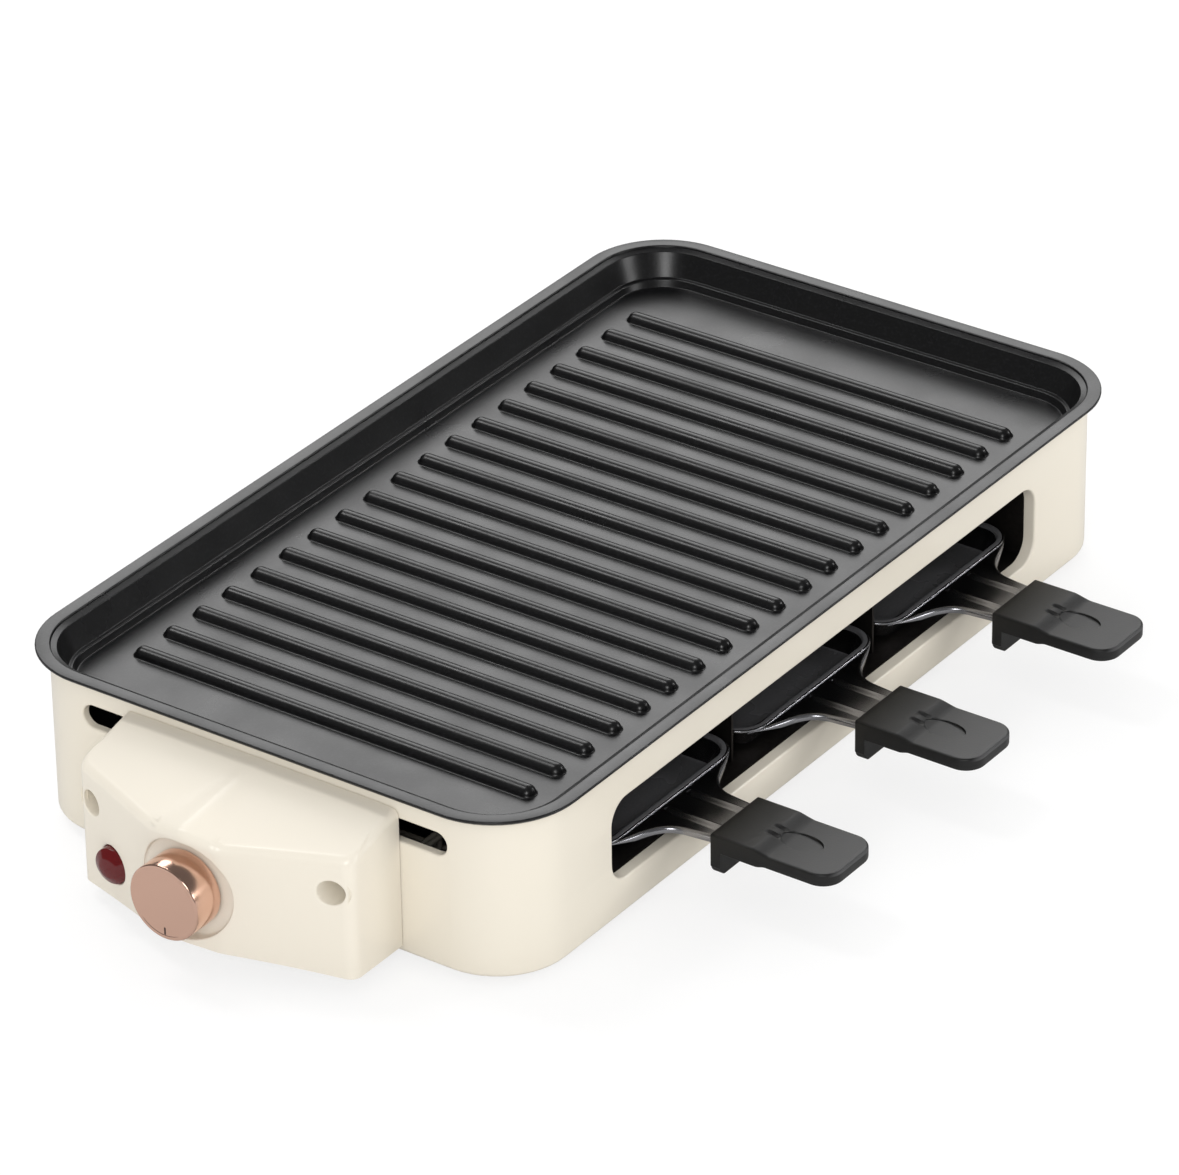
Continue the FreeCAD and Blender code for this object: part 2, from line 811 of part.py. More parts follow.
def make_housing():
    """Enamelled steel shell, open at the top, with a narrow lip round its open bottom."""
    body = new_body("housing")
    outline = sketch_on(body, "XY_Plane", "foot_gap")
    inset_outline(outline, "rim_overhang")
    extrude(body, "Pad", outline, "housing_height")
    round_edges(body, "housing_foot_round", level_edges("foot_gap"))
    round_edges(body, "housing_top_round", level_edges("housing_top"))
    inside = sketch_on(body, "XY_Plane", "base_bottom")
    inset_outline(inside, "rim_overhang + housing_wall")
    extrude(body, "Pocket", inside, "housing_height", reverse=True)
    bottom = sketch_on(body, "XY_Plane", "base_bottom")
    inset_outline(bottom, "rim_overhang + bottom_lip")
    extrude(body, "Pocket", bottom, "housing_wall + cut_margin")
    make_window(body)
    make_end_slots(body, "", True)
    make_end_slots(body, "-", False)

    deep = "housing_wall + cut_margin"
    end = "-half_length"
    leads = mirrored(("element_lead_y", "element_height"))
    drill(body, "YZ_Plane", end, leads, "element_hole", deep, True)
    covers = mirrored(("box_screw_y", "box_screw_height"))
    wide = "box_screw_diameter + screw_clearance"
    drill(body, "YZ_Plane", end, covers, wide, deep, True)
    narrow = "bracket_screw_diameter + screw_clearance"
    drill(body, "YZ_Plane", end, bracket_screw_places(), narrow, deep, True)
    cable = [("-grommet_y", "grommet_height")]
    drill(body, "YZ_Plane", end, cable, "grommet_hole", deep, True)
    lip = "base_screw_diameter + screw_clearance"
    drill(body, "XY_Plane", "foot_gap", base_screw_places(), lip, deep, True)

    socket = sketch_on(body, "XZ_Plane", "-half_width")
    wide = "(inlet_body_width / 2 + inlet_gap)"
    tall = "(inlet_body_height / 2 + inlet_gap)"
    left, right = f"-inlet_x - {wide}", f"-inlet_x + {wide}"
    low, high = f"inlet_height - {tall}", f"inlet_height + {tall}"
    rectangle(socket, left, low, right, high)
    extrude(body, "Pocket", socket, deep, reverse=True)
    finish(body, "housing")


# Base plate and feet


def make_base_plate():
    """Flat steel plate over the bottom lip, with a row of vent slots."""
    body = new_body("base_plate")
    outline = sketch_on(body, "XY_Plane", "base_bottom")
    inset_outline(outline, "rim_overhang + housing_wall + base_gap")
    extrude(body, "Pad", outline, "base_thickness")
    middle = "-vent_pitch * (vent_count - 1) / 2"
    left, right = f"{middle} - vent_width / 2", f"{middle} + vent_width / 2"
    vent = sketch_on(body, "XY_Plane", "base_top")
    rounded_rectangle(vent, left, "-vent_length / 2", right, "vent_length / 2", "vent_radius")
    first = extrude(body, "Pocket", vent, "base_thickness + cut_margin")
    row_of(body, first, "X_Axis", "vent_count", "vent_pitch")
    deep = "base_thickness + cut_margin"
    wide = "foot_screw_diameter + screw_clearance"
    drill(body, "XY_Plane", "base_top", foot_places(), wide, deep)
    narrow = "base_screw_diameter + screw_clearance"
    drill(body, "XY_Plane", "base_top", base_screw_places(), narrow, deep)
    finish(body, "base_plate")


def make_feet():
    """Four rubber feet, each with a well for the head of its screw."""
    bore = "(foot_screw_diameter + screw_clearance) / 2"
    profile = [
        ("foot_well_diameter / 2", "0"),
        ("foot_diameter / 2 - foot_taper", "0"),
        ("foot_diameter / 2", "base_bottom"),
        (bore, "base_bottom"),
        (bore, "foot_well_depth"),
        ("foot_well_diameter / 2", "foot_well_depth"),
    ]
    names = ("foot_front_left", "foot_back_left", "foot_front_right", "foot_back_right")
    for name, (x, y) in zip(names, foot_places()):
        finish(turned(name, profile), name, x, y)


def make_foot_screws():
    sizes_used = ("foot_screw_head", "foot_screw_head_height", "foot_screw_diameter")
    screws = []
    for x, y in foot_places():
        piece = screw("foot_screw", *sizes_used, "foot_screw_length")
        screws.append(set_at(piece, x, y, "foot_well_depth"))
    group(screws, "foot_screws")


def make_base_screws():
    sizes_used = ("base_screw_head", "base_screw_head_height", "base_screw_diameter")
    screws = []
    for x, y in base_screw_places():
        piece = screw("base_screw", *sizes_used, "base_screw_length")
        screws.append(set_at(piece, x, y, "foot_gap"))
    group(screws, "base_screws")


# Pan bay


def make_pan_bay():
    """Sheet-metal bay behind the window, open at the front and the top."""
    body = new_body("pan_bay")
    outside = sketch_on(body, "XY_Plane", "bay_floor - bay_wall")
    wide = "(bay_half_length + bay_wall)"
    rectangle(outside, f"-{wide}", "-bay_front", wide, "bay_back + bay_wall")
    extrude(body, "Pad", outside, "element_height - bay_floor + bay_wall")
    inside = sketch_on(body, "XY_Plane", "bay_floor")
    rectangle(inside, "-bay_half_length", "-half_width", "bay_half_length", "bay_back")
    extrude(body, "Pocket", inside, "element_height", reverse=True)
    leads = mirrored(("element_run_spacing * 1.5", "element_height"))
    notch = "element_diameter + element_notch_gap * 2"
    drill(body, "YZ_Plane", f"-{wide}", leads, notch, "bay_wall + cut_margin", True)
    finish(body, "pan_bay")


def make_bay_rail(label, x):
    """Hat-section rail that carries the bay's floor above the base plate."""
    body = new_body(label)
    outer, inner = "rail_width / 2", "(rail_width / 2 - rail_flange)"
    low, flange, high = "base_top", "base_top + bay_wall", "bay_floor - bay_wall"
    half = [
        (outer, low),
        (outer, flange),
        (inner, flange),
        (inner, high),
    ]
    under = [
        (f"{inner} - bay_wall", low),
        (f"{inner} - bay_wall", f"{high} - bay_wall"),
    ]
    left_half = [(f"-({y})", z) for y, z in reversed(half)]
    left_under = [(f"-({y})", z) for y, z in under]
    section = sketch_on(body, "XZ_Plane")
    polygon(section, half + left_half + left_under + list(reversed(under)))
    extrude(body, "Pad", section, "rail_length", both_ways=True)
    finish(body, label, x)


def make_divider(label, x):
    """Upright sheet between two pans, notched where the heating element crosses it."""
    body = new_body(label)
    sheet = sketch_on(body, "YZ_Plane")
    rectangle(sheet, "-(bay_front - divider_setback)", "bay_floor", "bay_back", "element_height")
    extrude(body, "Pad", sheet, "divider_wall", both_ways=True)
    runs = mirrored(("element_run_spacing / 2", "element_height"))
    runs += mirrored(("element_run_spacing * 1.5", "element_height"))
    notches = sketch_on(body, "YZ_Plane")
    for y, z in runs:
        circle(notches, y, z, "element_diameter + element_notch_gap * 2")
    extrude(body, "Pocket", notches, "divider_wall + cut_margin", both_ways=True)
    finish(body, label, x)


def make_pan_stops():
    """Three angle brackets on the bay's floor that end the pans' travel."""
    near = "pan_length - pan_front + stop_gap"
    far = f"{near} + bay_wall"
    brackets = []
    for x in ("-pan_pitch", "0", "pan_pitch"):
        body = new_body("pan_stop")
        corners = [
            (near, "bay_floor"),
            (f"{near} + stop_foot", "bay_floor"),
            (f"{near} + stop_foot", "bay_floor + bay_wall"),
            (far, "bay_floor + bay_wall"),
            (far, "bay_floor + stop_height"),
            (near, "bay_floor + stop_height"),
        ]
        polygon(sketch_on(body, "YZ_Plane"), corners)
        extrude(body, "Pad", body.Group[-1], "stop_width", both_ways=True)
        brackets.append(set_at(body, x, "0", "0"))
    group(brackets, "pan_stops")


def make_element_rests():
    """Two angle brackets on the right wall of the bay under the element's outer bends."""
    top = "element_height - element_diameter / 2"
    wall = "bay_half_length"
    corners = [
        (wall, top),
        (f"{wall} - element_rest_reach", top),
        (f"{wall} - element_rest_reach", f"{top} - bay_wall"),
        (f"{wall} - bay_wall", f"{top} - bay_wall"),
        (f"{wall} - bay_wall", f"{top} - element_rest_leg"),
        (wall, f"{top} - element_rest_leg"),
    ]
    brackets = []
    for y in ("-element_run_spacing", "element_run_spacing"):
        body = new_body("element_rest")
        polygon(sketch_on(body, "XZ_Plane"), corners)
        extrude(body, "Pad", body.Group[-1], "element_rest_width", both_ways=True)
        brackets.append(set_at(body, "0", y, "0"))
    group(brackets, "element_rests")


# Heating element


def make_heating_element():
    """Tube in four long runs, with both leads through the wall beside the control box."""
    outer, inner = "element_run_spacing * 1.5", "element_run_spacing / 2"
    half = [
        ("-element_tip", "element_lead_y"),
        ("-element_jog_end", "element_lead_y"),
        ("-element_jog_start", outer),
        ("element_end", outer),
        ("element_end", inner),
        ("-element_end", inner),
    ]
    points = [at(x, f"-({y})", "element_height") for x, y in half]
    points += [at(x, y, "element_height") for x, y in reversed(half)]
    bend = number("element_run_spacing / 2")
    finish(tube("heating_element", points, bend, number("element_diameter")), "heating_element")


def make_element_insulators():
    """Ceramic bushes that carry the element's leads through the housing wall."""
    bore = "element_diameter / 2 + insulator_bore_gap"
    profile = [
        (bore, "0"),
        ("insulator_flange / 2", "0"),
        ("insulator_flange / 2", "insulator_flange_thickness"),
        ("insulator_diameter / 2", "insulator_flange_thickness"),
        ("insulator_diameter / 2", "insulator_length"),
        (bore, "insulator_length"),
    ]
    bushes = []
    for y in ("-element_lead_y", "element_lead_y"):
        bush = turned("element_bush", profile)
        bushes.append(set_at(bush, "-insulator_front", y, "element_height", (1, 0, 0)))
    group(bushes, "element_insulators")


def make_element_terminals():
    tabs = []
    for y in ("-element_lead_y", "element_lead_y"):
        low = (
            "-(element_tip + terminal_length)",
            f"{y} - terminal_width / 2",
            "element_height - terminal_thickness / 2",
        )
        size = ("terminal_length", "terminal_width", "terminal_thickness")
        tabs.append(block("element_tab", low, size))
    group(tabs, "element_terminals")


# Pans and their handles


def make_pan(label, x):
    """Small shallow pan of pressed steel with a ribbed tang for its handle."""
    body = new_body(label)
    left, right = "-pan_width / 2", "pan_width / 2"
    front, back = "-pan_front", "pan_length - pan_front"

    def outline(height, inset):
        sketch = sketch_on(body, "XY_Plane", height)
        low = (f"{left} + {inset}", f"{front} + {inset}")
        high = (f"{right} - ({inset})", f"{back} - ({inset})")
        rounded_rectangle(sketch, *low, *high, f"pan_corner_radius - ({inset})")
        return sketch

    underside = "pan_rim_top - pan_sheet"
    bottom = "bay_floor + pan_lift"
    extrude(body, "Pad", outline(underside, "0"), "pan_sheet")
    tang = sketch_on(body, "XY_Plane", underside)
    side = [
        ("tang_flare", "pan_front - tang_root"),
        ("tang_shoulder", "pan_front + tang_shoulder_out"),
        ("tang_waist", "pan_front + tang_waist_out"),
        ("tang_neck", "pan_front + tang_neck_out"),
        ("tang_tip", "pan_front + tang_tip_out"),
        ("tang_tip", "tang_end"),
    ]
    right_side = [(half, f"-({y})") for half, y in side]
    left_side = [(f"-{half}", f"-({y})") for half, y in reversed(side)]
    polygon(tang, right_side + left_side)
    extrude(body, "Pad", tang, "pan_sheet")
    outer = [outline(underside, "pan_rim_width - pan_sheet")]
    outer.append(outline(bottom, "pan_rim_width - pan_sheet + pan_lean"))
    loft(body, "AdditiveLoft", outer)
    round_edges(body, "pan_bottom_round", level_edges(bottom))
    inner = [outline("pan_rim_top", "pan_rim_width")]
    inner.append(outline(f"{bottom} + pan_sheet", "pan_rim_width + pan_lean"))
    loft(body, "SubtractiveLoft", inner)
    inner_round = "pan_bottom_round - pan_sheet"
    round_edges(body, inner_round, level_edges(f"{bottom} + pan_sheet"))

    rib_start, rib_end = "pan_front + tang_rib_out", "handle_root - tang_slot_gap"
    rib = sketch_on(body, "YZ_Plane", "-tang_rib_x", "pan_rim_top - tang_rib_sink")
    middle = f"-({rib_end} + {rib_start}) / 2"
    half_capsule(rib, f"{rib_end} - ({rib_start})", "tang_rib_radius", middle)
    ribbed = revolve(body, "Revolution", rib, "H_Axis", 180)
    row_of(body, ribbed, "X_Axis", "2", "tang_rib_x * 2")
    holes = [("-tang_screw_x", "-handle_screw_y"), ("tang_screw_x", "-handle_screw_y")]
    wide = "handle_screw_diameter + screw_clearance"
    drill(body, "XY_Plane", "pan_rim_top", holes, wide, "pan_sheet + cut_margin")
    finish(body, label, x)


def make_handle(label, x):
    """Moulded handle: a skirt at its root, a shallow step down and a thumb recess."""
    body = new_body(label)
    section = sketch_on(body, "YZ_Plane")
    step_start = "handle_root + handle_root_length"
    step_end = f"{step_start} + handle_step_length"
    grip_bottom = "handle_grip_top - handle_grip_thickness"
    skirt = "handle_root + handle_skirt_thickness"
    skirt_bottom = "handle_top - handle_skirt_depth"
    corners = [
        ("handle_root", "handle_top"),
        (step_start, "handle_top"),
        (step_end, "handle_grip_top"),
        ("handle_tip", "handle_grip_top"),
        ("handle_tip", grip_bottom),
        (step_end, grip_bottom),
        (step_start, "handle_root_bottom"),
        (skirt, "handle_root_bottom"),
        (skirt, skirt_bottom),
        ("handle_root", skirt_bottom),
    ]
    polygon(section, [(f"-({y})", z) for y, z in corners])
    extrude(body, "Pad", section, "handle_width", both_ways=True)
    tip = -number("handle_tip")
    foot = number(skirt_bottom)
    side = number("handle_width / 2")

    def tip_corners(edge):
        return upright_edges(edge) and abs(edge.BoundBox.YMin - tip) < 0.01

    def skirt_corners(edge):
        box = edge.BoundBox
        return box.YLength > 1 and box.ZMax < foot + 0.01 and abs(abs(box.XMax) - side) < 0.01

    round_edges(body, "handle_tip_radius", tip_corners)
    round_edges(body, "skirt_corner_radius", skirt_corners)
    round_edges(body, "handle_edge_round", level_edges("handle_grip_top"))

    recess = sketch_on(body, "XY_Plane", "handle_top")
    half = "thumb_width / 2"
    thumb_end = "-(thumb_start + thumb_length)"
    rounded_rectangle(recess, f"-{half}", thumb_end, half, "-thumb_start", "thumb_radius")
    extrude(body, "Pocket", recess, "handle_step + thumb_depth")
    slot = sketch_on(body, "XZ_Plane", "handle_root")
    wide = "tang_tip + tang_slot_gap"
    low = "pan_rim_top - pan_sheet - tang_slot_gap"
    rectangle(slot, f"-({wide})", low, wide, "pan_rim_top + tang_slot_gap")
    extrude(body, "Pocket", slot, "tang_end - handle_root + tang_slot_gap", reverse=True)
    holes = [("-tang_screw_x", "-handle_screw_y"), ("tang_screw_x", "-handle_screw_y")]
    bore = "handle_screw_diameter + screw_clearance"
    depth = "handle_screw_length + screw_clearance"
    drill(body, "XY_Plane", "handle_root_bottom", holes, bore, depth, True)
    finish(body, label, x)


def make_handle_screws(label, x):
    sizes_used = ("handle_screw_head", "handle_screw_head_height", "handle_screw_diameter")
    screws = []
    for side in ("-tang_screw_x", "tang_screw_x"):
        piece = screw("handle_screw", *sizes_used, "handle_screw_length")
        place = (f"{x} + {side}", "-handle_screw_y", "handle_root_bottom")
        screws.append(set_at(piece, *place))
    group(screws, label)


# Control box


def faceted_box(name, inset, open_back):
    """Build the box from flat faces through its corners at each side, its nose and its peak."""
    back = "-(half_length + box_back_gap)"
    roof, drop = "box_roof_height", "0"
    if open_back:
        back = "-(half_length - box_wall)"
        roof, drop = "box_roof_height - box_wall + box_roof_drop", "box_wall"
    wing = ("box_wing_reach", f"box_half_width - {inset}", "box_wing_crease", "box_wing_bottom")
    nose = ("box_nose_reach", "box_nose_half_width", "box_nose_crease", "box_nose_bottom")
    peak = ("box_peak_reach", "0", "box_peak_crease", "box_peak_bottom")
    faces = []
    for side in ("", "-"):
        roof_line, crease, front_foot, back_foot = [], [], [], []
        for reach, y, top, bottom in (wing, nose, peak):
            x, across = f"-(half_length + {reach} - {inset})", f"{side}({y})"
            roof_line.append(at(back, across, roof))
            crease.append(at(x, across, f"{top} - {drop}"))
            front_foot.append(at(x, across, f"{bottom} - {drop}"))
            back_foot.append(at(back, across, f"{bottom} - {drop}"))
        faces.append([roof_line[0], crease[0], front_foot[0], back_foot[0]])
        faces.append([roof_line[0], crease[0], crease[1]])
        faces.append([roof_line[0], crease[1], roof_line[2]])
        faces.append([roof_line[2], crease[1], crease[2]])
        for i in (0, 1):
            faces.append([crease[i], crease[i + 1], front_foot[i + 1], front_foot[i]])
            faces.append([front_foot[i], front_foot[i + 1], back_foot[i + 1], back_foot[i]])
        faces.append([roof_line[0], roof_line[2], *reversed(back_foot)])
    flat = [Part.Face(Part.makePolygon(corners + corners[:1])) for corners in faces]
    item = doc.addObject("Part::Feature", name)
    solid = Part.Solid(Part.makeShell(flat))
    item.Shape = solid if solid.Volume > 0 else solid.reversed()
    return item


def make_control_box():
    """Moulded cover with a dish for the knob, screw wells, and a hole for the lamp."""
    outer = new_body("box_outside")
    outer.BaseFeature = faceted_box("box_outside_faces", "0", False)
    half = number("box_half_width")
    wall_side = -number("half_length + box_back_gap + cut_margin")
    crease_low = number("box_nose_crease - cut_margin")

    def front_corners(edge):
        box = edge.BoundBox
        return upright_edges(edge) and abs(abs(box.YMin) - half) < 0.01 and box.XMax < wall_side

    def creases(edge):
        box = edge.BoundBox
        along_side = abs(abs(box.YMin) - half) < 0.1
        sloping = box.ZMin > crease_low and box.XLength > 0.01 and box.XMin < wall_side
        return sloping and (box.XMax < wall_side or along_side)

    round_edges(outer, "box_corner_round", front_corners)
    round_edges(outer, "box_top_round", creases)
    inner = faceted_box("box_inside", "box_wall", True)
    away = (-1, 0, 0)
    posts, wells = [], []
    for y in ("-box_screw_y", "box_screw_y"):
        height = "box_screw_height"
        post_base = ("-(half_length + box_back_gap)", y, height)
        posts.append(cylinder("box_post", "box_post_diameter", "box_peak_reach", post_base, away))
        well_base = ("-(half_length + box_post_floor)", y, height)
        wells.append(cylinder("box_well", "box_screw_well", "box_peak_reach", well_base, away))
        hole = "box_screw_diameter + screw_clearance"
        start = ("-half_length", y, height)
        wells.append(cylinder("box_screw_hole", hole, "box_post_floor * 2", start, away))
    axis = ("0", "knob_axis_height")
    boss_base = ("-(half_length + dish_plane - dish_wall)", *axis)
    boss = cylinder("dish_boss", "dish_diameter + dish_wall * 2", "box_peak_reach", boss_base, away)
    dish_base = ("-(half_length + dish_plane)", *axis)
    dish = cylinder("dish_floor", "dish_diameter", "box_peak_reach", dish_base, away)
    shaft_base = ("-half_length", *axis)
    shaft = cylinder("shaft_bore", "shaft_hole", "box_peak_reach", shaft_base, away)
    lamp_base = ("-(half_length + lamp_socket_grip)", "lamp_y", "lamp_height")
    lamp = cylinder("lamp_bore", "lamp_diameter + lamp_hole_gap * 2", "box_peak_reach", lamp_base, away)
    hollow = cut(inner, fuse(posts + [boss], "box_solids"), "box_hollow")
    shell = cut(outer, hollow, "box_shell")
    finish(cut(shell, fuse(wells + [dish, shaft, lamp], "box_holes"), "control_box"), "control_box")


def make_control_box_floor():
    """Flat plate that closes the box from below, clear of its walls and of the dish."""
    body = new_body("control_box_floor")
    inset = "(box_wall + box_floor_gap)"
    side = f"(box_half_width - {inset})"
    wing, nose = f"(box_wing_reach - {inset})", f"(box_nose_reach - {inset})"
    front = "(dish_plane - dish_wall - box_floor_gap)"
    share = f"({front} - {wing}) / ({nose} - {wing})"
    stations = [
        ("box_back_gap", side),
        (wing, side),
        (front, f"{side} - {share} * ({side} - box_nose_half_width)"),
    ]
    right = [(f"-(half_length + {reach})", y) for reach, y in stations]
    left = [(x, f"-({y})") for x, y in reversed(right)]
    plan = sketch_on(body, "XY_Plane", "box_floor_height")
    polygon(plan, right + left)
    extrude(body, "Pad", plan, "box_floor_thickness")
    finish(body, "control_box_floor")


def make_box_screws():
    sizes_used = ("box_screw_head", "box_screw_head_height", "box_screw_diameter")
    screws = []
    for y in ("-box_screw_y", "box_screw_y"):
        piece = screw("box_screw", *sizes_used, "box_screw_length")
        place = ("-(half_length + box_post_floor)", y, "box_screw_height")
        screws.append(set_at(piece, *place, (1, 0, 0)))
    group(screws, "box_screws")


# Thermostat and knob


def bracket_screw_places():
    return [(y, f"knob_axis_height {sign} bracket_screw_rise")
            for y in ("-bracket_screw_y", "bracket_screw_y") for sign in "+-"]


def make_thermostat():
    """Thermostat body with the threaded neck that its shaft turns in."""
    front = "-(half_length + bracket_reach - bracket_wall)"
    low = (front, "-thermostat_width / 2", "knob_axis_height - thermostat_height / 2")
    size = ("thermostat_depth", "thermostat_width", "thermostat_height")
    case = block("thermostat_case", low, size)
    away = (-1, 0, 0)
    start = (front, "0", "knob_axis_height")
    neck = cylinder("thermostat_neck_bar", "thermostat_neck", "thermostat_neck_length", start, away)
    inside = (f"{front} + shaft_seat", "0", "knob_axis_height")
    bore = "shaft_diameter + shaft_running_gap * 2"
    hole = cylinder("thermostat_bore", bore, "thermostat_neck_length * 2", inside, away)
    finish(cut(fuse([case, neck], "thermostat_solid"), hole, "thermostat"), "thermostat")


def make_thermostat_bracket():
    """Hat-shaped bracket that holds the thermostat off the housing wall."""
    body = new_body("thermostat_bracket")
    inner = "bracket_half_width - bracket_wall"
    foot = "bracket_half_width + bracket_foot"
    half = [
        ("0", foot),
        ("bracket_wall", foot),
        ("bracket_wall", "bracket_half_width"),
        ("bracket_reach", "bracket_half_width"),
    ]
    under = [
        ("0", inner),
        ("bracket_reach - bracket_wall", inner),
    ]
    outside = half + [(u, f"-({y})") for u, y in reversed(half)]
    inside = [(u, f"-({y})") for u, y in under] + list(reversed(under))
    plan = sketch_on(body, "XY_Plane", "knob_axis_height")
    polygon(plan, [(f"-(half_length + {u})", y) for u, y in outside + inside])
    extrude(body, "Pad", plan, "bracket_half_height * 2", both_ways=True)
    deep = "bracket_wall + cut_margin"
    neck = "thermostat_neck + shaft_running_gap * 2"
    face = "-(half_length + bracket_reach)"
    drill(body, "YZ_Plane", face, [("0", "knob_axis_height")], neck, deep, True)
    foot_face = "-(half_length + bracket_wall)"
    narrow = "bracket_screw_diameter + screw_clearance"
    drill(body, "YZ_Plane", foot_face, bracket_screw_places(), narrow, deep, True)
    finish(body, "thermostat_bracket")


def make_bracket_screws():
    sizes_used = ("bracket_screw_head", "bracket_screw_head_height", "bracket_screw_diameter")
    screws = []
    for y, z in bracket_screw_places():
        piece = screw("bracket_screw", *sizes_used, "bracket_screw_length")
        screws.append(set_at(piece, "-(half_length + bracket_wall)", y, z, (1, 0, 0)))
    group(screws, "bracket_screws")


def make_thermostat_nut():
    prism = doc.addObject("Part::Prism", "nut_prism")
    prism.Polygon = 6
    tie(prism, "Circumradius", "thermostat_nut / sqrt(3)")
    tie(prism, "Height", "thermostat_nut_height")
    place = ("-(half_length + bracket_reach)", "0", "knob_axis_height")
    set_at(prism, *place, (-1, 0, 0))
    bore = "thermostat_neck + shaft_running_gap"
    hole = cylinder("nut_bore", bore, "thermostat_nut_height", place, (-1, 0, 0))
    finish(cut(prism, hole, "thermostat_nut"), "thermostat_nut")


def make_knob_cap():
    """Metal cap of the knob: thin shell, open behind, with a small mark on its face."""
    body = new_body("knob_cap")
    profile = sketch_on(body, "XZ_Plane", "0", "knob_axis_height")
    radius, wall = "knob_diameter / 2", "knob_wall"
    corners = [
        ("knob_back", radius),
        ("knob_front - knob_edge", radius),
        ("knob_front", f"{radius} - knob_edge"),
        ("knob_front", "0"),
        (f"knob_front - {wall}", "0"),
        (f"knob_front - {wall}", f"{radius} - {wall}"),
        ("knob_back", f"{radius} - {wall}"),
    ]
    polygon(profile, [(f"-({x})", y) for x, y in corners])
    revolve(body, "Revolution", profile, "H_Axis")
    mark = sketch_on(body, "YZ_Plane", "-knob_front", "knob_axis_height")
    low = f"-({radius} - knob_edge * 2)"
    high = f"{low} + knob_mark_length"
    rectangle(mark, "-knob_mark_width / 2", low, "knob_mark_width / 2", high)
    extrude(body, "Pocket", mark, "knob_mark_depth", reverse=True)
    finish(body, "knob_cap")


def shaft_bar(name, gap, start, end):
    """Round bar with a flat along its outer end, grown by a gap all round."""
    bar = cylinder(
        f"{name}_bar",
        f"shaft_diameter + ({gap}) * 2",
        f"{end} - ({start})",
        (f"-({start})", "0", "knob_axis_height"),
        (-1, 0, 0),
    )
    flat_height = f"knob_axis_height + shaft_diameter / 2 - shaft_flat + {gap}"
    flat = block(
        f"{name}_flat",
        ("-(shaft_tip + cut_margin)", "-shaft_diameter", flat_height),
        ("shaft_flat_length + cut_margin", "shaft_diameter * 2", "shaft_diameter"),
    )
    return cut(bar, flat, name)


def make_knob_hub():
    """Plastic core of the knob, with a bore that fits the shaft and its flat."""
    profile_base = ("-(knob_back + knob_hub_inset)", "0", "knob_axis_height")
    width = "knob_diameter - knob_wall * 2 - knob_hub_gap * 2"
    length = "knob_length - knob_hub_inset - knob_wall"
    hub = cylinder("hub_bar", width, length, profile_base, (-1, 0, 0))
    bore = shaft_bar("hub_bore", "knob_hub_gap", "knob_back", "shaft_tip + knob_hub_gap")
    finish(cut(hub, bore, "knob_hub"), "knob_hub")


def make_thermostat_shaft():
    start = "half_length + bracket_reach - bracket_wall - shaft_seat + shaft_running_gap"
    finish(shaft_bar("thermostat_shaft", "0", start, "shaft_tip"), "thermostat_shaft")


# Pilot lamp


def make_lamp_lens():
    """Domed red lens, hollow behind."""
    away = (-1, 0, 0)
    axis = ("lamp_y", "lamp_height")
    bar = cylinder(
        "lens_bar", "lamp_diameter", "lamp_front + lamp_dome - lamp_back",
        ("-(half_length + lamp_back)", *axis), away,
    )
    ball = doc.addObject("Part::Sphere", "lens_ball")
    tie(ball, "Radius", "lens_radius")
    ball_x = "-(half_length + lamp_front + lamp_dome - lens_radius)"
    for letter, formula in zip("xyz", (ball_x, *axis)):
        tie(ball, f"Placement.Base.{letter}", formula)
    solid = doc.addObject("Part::MultiCommon", "lens_solid")
    solid.Shapes = [bar, ball]
    hollow = cylinder(
        "lens_hollow", "lamp_diameter - lamp_wall * 2", "lamp_front - lamp_back - lamp_wall",
        ("-(half_length + lamp_back)", *axis), away,
    )
    finish(cut(solid, hollow, "lamp_lens"), "lamp_lens")


def make_lamp_socket():
    back = "-(half_length + lamp_back + lamp_socket_grip - lamp_socket_length)"
    width = "lamp_diameter - lamp_wall * 2 - lamp_hole_gap"
    base = (back, "lamp_y", "lamp_height")
    bar = cylinder("socket_bar", width, "lamp_socket_length", base, (-1, 0, 0))
    group([bar], "lamp_socket")


def make_lamp_bulb():
    """Small glow lamp standing on the socket inside the lens."""
    axis = ("lamp_y", "lamp_height")
    base = ("-(half_length + lamp_back + lamp_socket_grip)", *axis)
    length = "lamp_bulb_length - lamp_bulb_diameter / 2"
    bar = cylinder("bulb_bar", "lamp_bulb_diameter", length, base, (-1, 0, 0))
    ball = doc.addObject("Part::Sphere", "bulb_ball")
    tie(ball, "Radius", "lamp_bulb_diameter / 2")
    ball_x = f"-(half_length + lamp_back + lamp_socket_grip + {length})"
    for letter, formula in zip("xyz", (ball_x, *axis)):
        tie(ball, f"Placement.Base.{letter}", formula)
    finish(fuse([bar, ball], "lamp_bulb"), "lamp_bulb")


# Mains inlet and wiring


